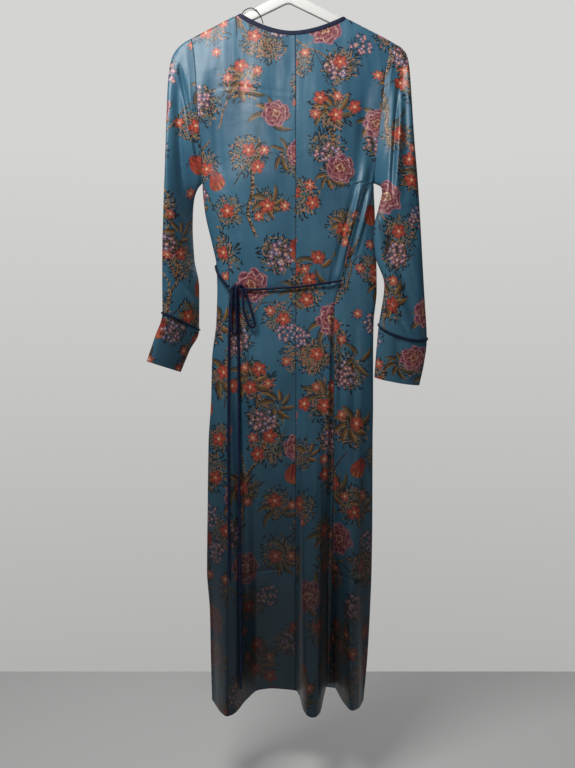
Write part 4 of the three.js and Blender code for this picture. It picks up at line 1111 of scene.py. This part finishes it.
def sector(g, turns, count, shift):
    """Which of `count` equal sectors an angle lies in, and how far from its middle line, -0.5 to 0.5."""
    spread = turns * count + shift
    number = g.math("FLOOR", spread)
    return number, spread - number - 0.5


def scattered(g, place, density, shift):
    """Points scattered over a motif: the way from the nearest one, its place and three chances of its own."""
    u, v, own = g.parts(place)
    moved = g.together(u + own * 13 + shift, v + own * 7)
    cells = g.node("TexVoronoi", {"Vector": moved, "Scale": density, "Randomness": 0.85}, output="Distance",
                   voronoi_dimensions="2D")
    outputs = cells.output.node.outputs
    off = g.node("VectorMath", {0: moved, 1: Socket(g, outputs["Position"])}, operation="SUBTRACT")
    off = g.scaled(off, (1, 1, 0))
    centre = g.node("VectorMath", {0: g.scaled(place, (1, 1, 0)), 1: off}, operation="SUBTRACT")
    return off, centre, Socket(g, outputs["Color"])


def strokes(g, place, density, shift, half_length, half_width, reach):
    """Small pointed brush strokes, each leaning roughly away from the motif's middle, and a chance for each.

    The half width falls from the middle of a stroke to its tips as 1 - (share along it) squared.
    """
    off, centre, chances = scattered(g, place, density, shift)
    lean = g.scaled(g.moved(chances, (-0.5, -0.5, -0.5)), (1.9, 1.9, 0))
    heading = g.node("VectorMath", {0: g.moved(centre, lean)}, operation="NORMALIZE")
    hx, hy = g.parts(heading)[:2]
    x, y = g.parts(off)[:2]
    along, across = x * hx + y * hy, y * hx - x * hy
    red, green, blue = g.parts(chances)
    share = along / (half_length * 0.7 + green * half_length * 0.6)
    width = (1 - share * share) * half_width
    shown = g.length(centre) + blue * 0.35 < reach
    return g.soft(width - g.math("ABSOLUTE", across), 0.0, half_width * 0.3) * shown, red


def bloom(g, place):
    """Five round petals: the rim is 0.46 + 0.34 sqrt(1 - (2 s)^2) in each sector, s being the share across
    it. Dark tips of leaves stand out behind them."""
    place = painted(g, place, 0.34, 2.2)
    own, r, turns = polar(g, place)
    s = sector(g, turns, 5, own * 7)[1]
    lobe = g.math("SQRT", g.math("MAXIMUM", 1 - s * s * 4, 0.0))
    rim = 0.46 + lobe * 0.34
    near_rim = r / rim
    streak = g.noise(g.together(turns * 22, r * 2.5, own), 1.0, 2.0)
    shade = g.blend(g.soft(near_rim, 0.0, 0.34), colour("f3cfa4"), colour("cc5a42"))
    shade = g.blend(g.soft(near_rim + streak, 0.85, 1.6), shade, colour("8e2b28"))
    shade = g.blend(g.soft(streak, 0.58, 0.7) * g.soft(r, 0.2, 0.4) * 0.7, shade, colour("dd8262"))
    side = g.math("ABSOLUTE", s)
    shade = g.blend(g.soft(side, 0.34, 0.48) * g.soft(r, 0.18, 0.4) * 0.85, shade, colour("3c1520"))
    specks = g.soft(g.math("SINE", turns * (2 * math.pi * 11)), 0.4, 0.8)
    shade = g.blend(specks * g.soft(r, 0.16, 0.2) * g.soft(r, 0.34, 0.26) * 0.75, shade, colour("4a1a1c"))
    number, s = sector(g, turns, 11, own * 3)
    tip = 1.05 - g.math("ABSOLUTE", s) * 2.6 - g.chance(number + own * 9) * 0.42
    leaf = g.soft(tip - r, 0.0, 0.05) * g.soft(r, rim - 0.02, rim + 0.03)
    shade = g.blend(leaf, shade, colour("1d1c20"))
    return g.math("MAXIMUM", g.soft(rim - r, 0.0, 0.07), leaf), shade


def bud(g, place):
    """A smaller, paler blossom with six narrower petals and tips of leaves behind it."""
    place = painted(g, place, 0.34, 2.0)
    own, r, turns = polar(g, place)
    s = sector(g, turns, 6, own * 5)[1]
    rim = 0.34 + (1 - s * s * 3.4) * 0.36
    shade = g.blend(g.soft(r / rim, 0.0, 0.34), colour("f4dcb8"), colour("cf7458"))
    shade = g.blend(g.soft(r / rim, 0.45, 1.0), shade, colour("a03a30"))
    between = g.soft(g.math("ABSOLUTE", s), 0.28, 0.46) * g.soft(r, 0.16, 0.36)
    shade = g.blend(between * 0.8, shade, colour("40161e"))
    number, s = sector(g, turns, 9, own * 3)
    chance = g.chance(number + own * 5)
    tip = 1.1 - g.math("ABSOLUTE", s) * 2.4 - chance * 0.4
    leaf = g.soft(tip - r, 0.0, 0.06) * g.soft(r, rim, rim + 0.04)
    shade = g.blend(leaf, shade, g.blend(g.soft(chance, 0.5, 0.55), colour("1e1f24"), colour("8a6a3e")))
    return g.math("MAXIMUM", g.soft(rim - r, 0.0, 0.08), leaf), shade


def peony(g, place):
    """Four rings of scalloped petals, each paler at its rim and darker where the next one covers it, broken
    up by fine strokes."""
    place = painted(g, place, 0.42, 2.4)
    own, r, turns = polar(g, place)
    covered, shade = None, None
    streak = g.noise(g.together(turns * 34, r * 6, own), 1.0, 2.0)
    for count, size, scallop, pale, deep in (
        (7, 0.84, 0.16, "c9868e", "74314a"), (6, 0.66, 0.16, "dba79c", "8b3f50"),
        (5, 0.46, 0.14, "cc8078", "79303f"), (4, 0.26, 0.1, "e6bb98", "92402f"),
    ):
        s = sector(g, turns, count, own * 3 + size * 5)[1]
        rim = size + (0.5 - s * s * 4) * scallop
        inner = g.soft(rim - r, 0.0, 0.05)
        petal = g.blend(g.soft(rim - r + (streak - 0.5) * 0.3, 0.0, 0.2), colour(pale), colour(deep))
        covered = inner if covered is None else g.math("MAXIMUM", covered, inner)
        shade = petal if shade is None else g.blend(inner, shade, petal)
    mark = strokes(g, place, 9.0, 3.0, 0.07, 0.02, 1.0)[0]
    return covered, g.blend(mark * 0.8, shade, colour("3d1a2a"))


def florets(g, place):
    """A full head of small five-petalled flowers, one at each of many scattered points, over dark strokes."""
    place = painted(g, place, 0.16, 3.0)
    off, centre, chances = scattered(g, place, 3.1, 0.0)
    x, y = g.parts(off)[:2]
    red, green, blue = g.parts(chances)
    s = sector(g, g.math("ARCTAN2", y, x) / (2 * math.pi), 5, red)[1]
    away = g.length(off)
    rim = 0.1 + (1 - s * s * 4) * 0.08
    head = g.length(centre) + green * 0.25 < 0.92
    shade = g.blend(g.soft(red, 0.4, 0.6), colour("c98e8c"), colour("8d88ad"))
    shade = g.blend(g.soft(blue, 0.6, 0.7), shade, colour("b47892"))
    shade = g.blend(g.soft(away / rim, 0.5, 1.0), shade, colour("63415c"))
    shade = g.blend(g.soft(g.math("ABSOLUTE", s), 0.3, 0.46) * 0.8, shade, colour("40283c"))
    shade = g.blend(g.soft(away, 0.06, 0.03), shade, colour("ecc9a0"))
    dark = strokes(g, place, 5.0, 5.0, 0.14, 0.05, 1.05)[0]
    petals = g.soft(rim - away, 0.0, 0.02) * head
    return g.math("MAXIMUM", petals, dark), g.blend(petals, colour("24222b"), shade)


def tulip(g, place):
    """One large cupped flower seen from the side: an oval, narrowing to its foot, with veins that fan out."""
    place = painted(g, place, 0.16, 2.0)
    u, v, own = g.parts(place)
    half = g.math("SQRT", g.math("MAXIMUM", 1 - v * v * 1.9, 0.0)) * (0.56 - v * 0.22)
    side = g.math("ABSOLUTE", u)
    cup = g.soft(half - side, 0.0, 0.05)
    vein = g.noise(g.together(u / (1.5 - v) * 26, v * 1.4, own), 1.0, 2.0)
    shade = g.blend(g.soft(vein, 0.35, 0.65), colour("84271f"), colour("bf4c36"))
    shade = g.blend(g.soft(v, 0.1, -0.6) * g.soft(vein, 0.3, 0.6) * 0.6, shade, colour("d98a54"))
    dark = strokes(g, place, 6.0, 2.0, 0.16, 0.035, 0.9)[0]
    foot = dark * g.soft(v, 0.25, 0.5)
    shade = g.blend(g.soft(half - side, 0.07, 0.02) * 0.8, shade, colour("541a20"))
    return g.math("MAXIMUM", cup, foot), g.blend(foot, shade, colour("201d20"))


def leaves(g, place):
    """A swirling fan of slender leaves. Each sector holds one, of its own length, or none, with a dark stroke
    down its middle and another along one side."""
    place = painted(g, place, 0.1, 2.0)
    own, r, turns = polar(g, place)
    number, s = sector(g, turns + r * 0.16, 8, own * 4)
    own_length = g.chance(number + own * 31)
    shown = g.chance(number + own * 57) > 0.2
    reach = 0.6 + own_length * 0.38
    along = g.math("MINIMUM", g.math("MAXIMUM", (r - 0.12) / (reach - 0.12), 0.0), 1.0)
    half = g.math("SINE", along * math.pi) ** 0.85 * 0.1
    across = s * r * (2 * math.pi / 8)
    side = g.math("ABSOLUTE", across)
    streak = g.noise(g.together(across * 26, r * 3, own), 1.0, 1.0)
    shade = g.blend(own_length, colour("b98448"), colour("77693c"))
    shade = g.blend(g.soft(streak, 0.5, 0.62) * 0.7, shade, colour("7a4a28"))
    shade = g.blend(g.soft(across / 0.1, 0.15, 0.6), shade, colour("4c3826"))
    shade = g.blend(g.soft(side, 0.02, 0.008), shade, colour("17171d"))
    mask = g.soft(half - side, 0.0, 0.016) * shown
    beside = g.math("ABSOLUTE", across - half - 0.016)
    stroke = g.soft(beside, 0.026, 0.012) * g.soft(half, 0.02, 0.05) * shown
    shade = g.blend(stroke, shade, colour("15161d"))
    return g.math("MAXIMUM", mask, stroke), shade


def foliage(g, place):
    """A patch of small pointed leaflets: dark ones below, ochre and olive ones above."""
    place = painted(g, place, 0.2, 1.6)
    dark = strokes(g, place, 6.0, 0.0, 0.2, 0.042, 1.08)[0]
    light, red = strokes(g, place, 6.6, 4.0, 0.16, 0.04, 0.95)
    shade = g.blend(g.soft(red, 0.4, 0.5), colour("a67c4a"), colour("776a48"))
    shade = g.blend(g.soft(red, 0.72, 0.8), shade, colour("b9785a"))
    return g.math("MAXIMUM", dark, light), g.blend(light, colour("17181e"), shade)


def branch(g, place, forks):
    """A winding twig with side twigs: the middle line is a sum of two sines, and each fork leaves it at a
    slant."""
    u, v, own = g.parts(place)
    wave = g.math("SINE", u * 2.6 + own * 6) * 0.1 + g.math("SINE", u * 8 + own * 9) * 0.03
    line = v - wave
    fades = g.soft(middle_distance(g, place), 0.98, 0.8)
    bark = g.soft(g.math("ABSOLUTE", line), 0.038, 0.026) * fades
    for start, slope, reach, width in forks:
        on = u - start
        off = line - on * slope - g.math("SINE", on * 9) * 0.02
        within = g.soft(on, 0.0, 0.02) * g.soft(on, reach, reach - 0.12)
        bark = g.math("MAXIMUM", bark, g.soft(g.math("ABSOLUTE", off), width, width * 0.6) * within)
    grain = g.noise(g.scaled(place, (1, 1, 5)), 30.0, 1.0)
    shade = g.blend(g.soft(grain, 0.44, 0.54), colour("2a2022"), colour("b08c6c"))
    shade = g.blend(g.soft(line, 0.006, 0.026) * 0.8, shade, colour("1c181c"))
    return bark, shade


# A twig's forks: start along it, slope, reach, half width
BRANCH_FORKS = ((-0.55, 0.75, 0.55, 0.02), (-0.1, -0.8, 0.5, 0.022), (0.25, 0.9, 0.42, 0.018))
SPRIG_FORKS = ((-0.4, -0.9, 0.5, 0.026), (0.0, 0.8, 0.5, 0.026))
MOTIF_FORMS = {
    "branch": lambda g, place: branch(g, place, BRANCH_FORKS),
    "sprig": lambda g, place: branch(g, place, SPRIG_FORKS),
    "foliage": foliage, "brush": foliage, "leaves": leaves, "fan": leaves, "tulip": tulip,
    "florets": florets, "peony": peony, "bud": bud, "bloom": bloom,
}


def printed_satin():
    """Printed satin: layers of motifs over a mottled teal ground that darkens towards the hem, with painted
    shade along the seams and side edges, stitches and soft small creases."""
    g = Graph("printed_satin_finish", Sheen_Weight=0.1, Sheen_Roughness=0.4)
    cut = g.node("UVMap", {}, uv_map="cut")
    mottle = g.noise(g.scaled(cut, (9.0, 5.0, 1.0)), 1.0, 3.0)
    shade = g.blend(g.soft(mottle, 0.3, 0.7), colour("33627c"), colour("44768e"))
    for kind, form in MOTIF_FORMS.items():
        place = g.attribute(kind)
        mask, paint = form(g, place)
        own = g.parts(place)[2]
        shade = g.blend(mask * (own > 0.97), shade, paint)
    sides, above, inside = g.parts(g.attribute("edges"))
    down = g.parts(cut)[1]
    dim = 1 - g.soft(down, 0.62, 1.36) * 0.8
    shade = g.scaled(shade, g.together(dim, dim, dim))
    # painted shade: the colour goes dark within 1.7 mm of each piece's side edge, standing in for the shade
    # in the seams' grooves
    shade = g.blend(g.soft(sides, 1.7, 0.2) * 0.75, shade, colour("0c1a28"))
    hem_edge = g.soft(above, 3.4, 2.2) * (down > 1.43)
    shade = g.blend(hem_edge, shade, colour("161c2e"))
    shade = g.blend(inside * 0.45, shade, colour("6d8794"))
    g.connect(shade, "Base Color")
    worn = g.noise(g.scaled(cut, (60.0, 14.0, 1.0)), 1.0, 3.0)
    ripples = g.noise(g.scaled(cut, (26.0, 5.0, 1.0)), 1.0, 2.0)
    crumples = g.noise(g.scaled(cut, (16.0, 30.0, 1.0)), 1.0, 3.0)
    seam = g.soft(sides, 3.0, 0.0)
    g.connect(seam * 0.4 + 0.38 + worn * 0.06, "Roughness")
    stitches = g.soft(g.math("ABSOLUTE", above - 12.5), 1.3, 0.3)
    pucker = g.math("SINE", down * 560.0 + worn * 9.0) * g.soft(sides, 8.0, 1.0) * 0.12
    g.bump(worn * 0.6 + ripples * 3.2 + crumples * 1.1 + pucker - stitches * 0.4 - seam * 0.3, 0.0009)
    return g.material


def navy_satin():
    """Plain navy satin of the trims, faintly mottled, with a fine grain."""
    g = Graph("navy_satin_finish", Roughness=0.58, Specular_IOR_Level=0.28)
    place = g.node("TexCoord", {}, output="Object")
    worn = g.noise(place, 90.0, 2.0)
    g.connect(g.blend(g.soft(worn, 0.3, 0.7), colour("0c1330"), colour("172243")), "Base Color")
    g.bump(g.noise(place, 420.0, 1.0), 0.0003)
    return g.material


def black_cord():
    """The loop's thin matt cord, with the roughness of its strands."""
    g = Graph("loop_cord_finish", Roughness=0.75)
    place = g.node("TexCoord", {}, output="Object")
    strands = g.noise(place, 900.0, 1.0)
    g.connect(g.blend(strands, colour("0c0d12"), colour("20222b")), "Base Color")
    g.bump(strands, 0.0002)
    return g.material


def white_plastic():
    """The hanger's smooth half-gloss plastic, with faint clouds and ripples."""
    g = Graph("hanger_plastic_finish", Roughness=0.32)
    place = g.node("TexCoord", {}, output="Object")
    cloud = g.noise(place, 14.0, 2.0)
    g.connect(g.blend(cloud, colour("ecebe6"), colour("f7f6f3")), "Base Color")
    g.bump(g.noise(place, 160.0, 1.0), 0.0001)
    return g.material


FINISHES = {
    "printed_satin": printed_satin(), "navy_satin": navy_satin(), "loop_cord": black_cord(),
    "hanger_plastic": white_plastic(),
}


def slot_of(node):
    if node.startswith(("back", "front", "sleeve")) or node in ("cuff_left", "cuff_right"):
        return "printed_satin"
    if node.startswith("hanger"):
        return "hanger_plastic"
    return "loop_cord" if node == "hanging_loop" else "navy_satin"


for node, piece in [*made.items(), *(("tie_knot", wrap) for wrap in wraps)]:
    piece.data.materials.append(FINISHES[slot_of(node)])
    slot_of(node)


# The tails' routes as smooth lines, which nothing further uses

for node, route in (("tie_tail_left", TAIL_LEFT), ("tie_tail_right", TAIL_RIGHT)):
    line = through_points(route, 2.0)


# Stage: a pale floor, soft light from above on the back, and a softer one on the fronts

FLOOR = {"level": -1.62, "half": 4.0, "far_edge": 0.55, "colour": (0.6, 0.6, 0.59, 1), "glow": 0.12}


def plain_floor():
    """A flat floor, with a faint glow of its own that keeps it pale below the robe."""
    half, far_edge, level = FLOOR["half"], FLOOR["far_edge"], FLOOR["level"]
    corners = [(-half, -half, level), (half, -half, level), (half, far_edge, level), (-half, far_edge, level)]
    mesh = bpy.data.meshes.new("floor")
    mesh.from_pydata(corners, [], [(0, 1, 2, 3)])
    piece = bpy.data.objects.new("floor", mesh)
    bpy.context.scene.collection.objects.link(piece)
    material = bpy.data.materials.new("pale_floor")
    material.use_nodes = True
    shader = material.node_tree.nodes["Principled BSDF"]
    shader.inputs["Base Color"].default_value = FLOOR["colour"]
    shader.inputs["Roughness"].default_value = 0.9
    shader.inputs["Emission Color"].default_value = FLOOR["colour"]
    shader.inputs["Emission Strength"].default_value = FLOOR["glow"]
    mesh.materials.append(material)


def soft_light(name, place, turn, size, power):
    """A wide lamp: its place in metres, its turn in degrees, its sides in metres and its power in watts."""
    light = bpy.data.lights.new(name, "AREA")
    light.shape = "RECTANGLE"
    light.size, light.size_y = size
    light.energy = power
    lamp = bpy.data.objects.new(name, light)
    lamp.location = place
    lamp.rotation_euler = [math.radians(a) for a in turn]
    lamp.visible_camera = False
    bpy.context.scene.collection.objects.link(lamp)


ROOM = {
    "grey": {"From Min": -0.42, "From Max": 0.3, "To Min": 0.42, "To Max": 0.66},
    "tint": (1, 0.995, 0.975, 1), "light": (0.95, 0.97, 1, 1), "strength": 0.06,
}


def pale_room():
    """A pale room seen behind the robe, lighter above than below, which lights the robe only faintly."""
    world = bpy.data.worlds.new("pale_room")
    world.use_nodes = True
    tree = world.node_tree
    seen = tree.nodes.new("ShaderNodeBackground")
    grey = tree.nodes.new("ShaderNodeMapRange")
    direction, parts = tree.nodes.new("ShaderNodeTexCoord"), tree.nodes.new("ShaderNodeSeparateXYZ")
    path, either = tree.nodes.new("ShaderNodeLightPath"), tree.nodes.new("ShaderNodeMixShader")
    for socket, value in ROOM["grey"].items():
        grey.inputs[socket].default_value = value
    faint = tree.nodes["Background"]
    faint.inputs["Color"].default_value = ROOM["light"]
    faint.inputs["Strength"].default_value = ROOM["strength"]
    for output, socket in (
        (direction.outputs["Generated"], parts.inputs[0]), (parts.outputs["Z"], grey.inputs[0]),
        (grey.outputs[0], seen.inputs["Strength"]), (path.outputs["Is Camera Ray"], either.inputs[0]),
        (faint.outputs[0], either.inputs[1]), (seen.outputs[0], either.inputs[2]),
        (either.outputs[0], tree.nodes["World Output"].inputs["Surface"]),
    ):
        tree.links.new(output, socket)
    seen.inputs["Color"].default_value = ROOM["tint"]
    bpy.context.scene.world = world


plain_floor()
soft_light("above_the_back", (-0.55, -0.78, 0.46), (44, 0, -24), (0.7, 0.5), 17)
soft_light("towards_the_back", (0.7, -3.0, -0.1), (84, 0, 14), (2.2, 1.6), 4)
soft_light("above_the_fronts", (0.4, 1.3, 0.5), (-50, 0, 12), (1.2, 0.8), 14)
pale_room()
bpy.context.scene.view_settings.view_transform = "Standard"
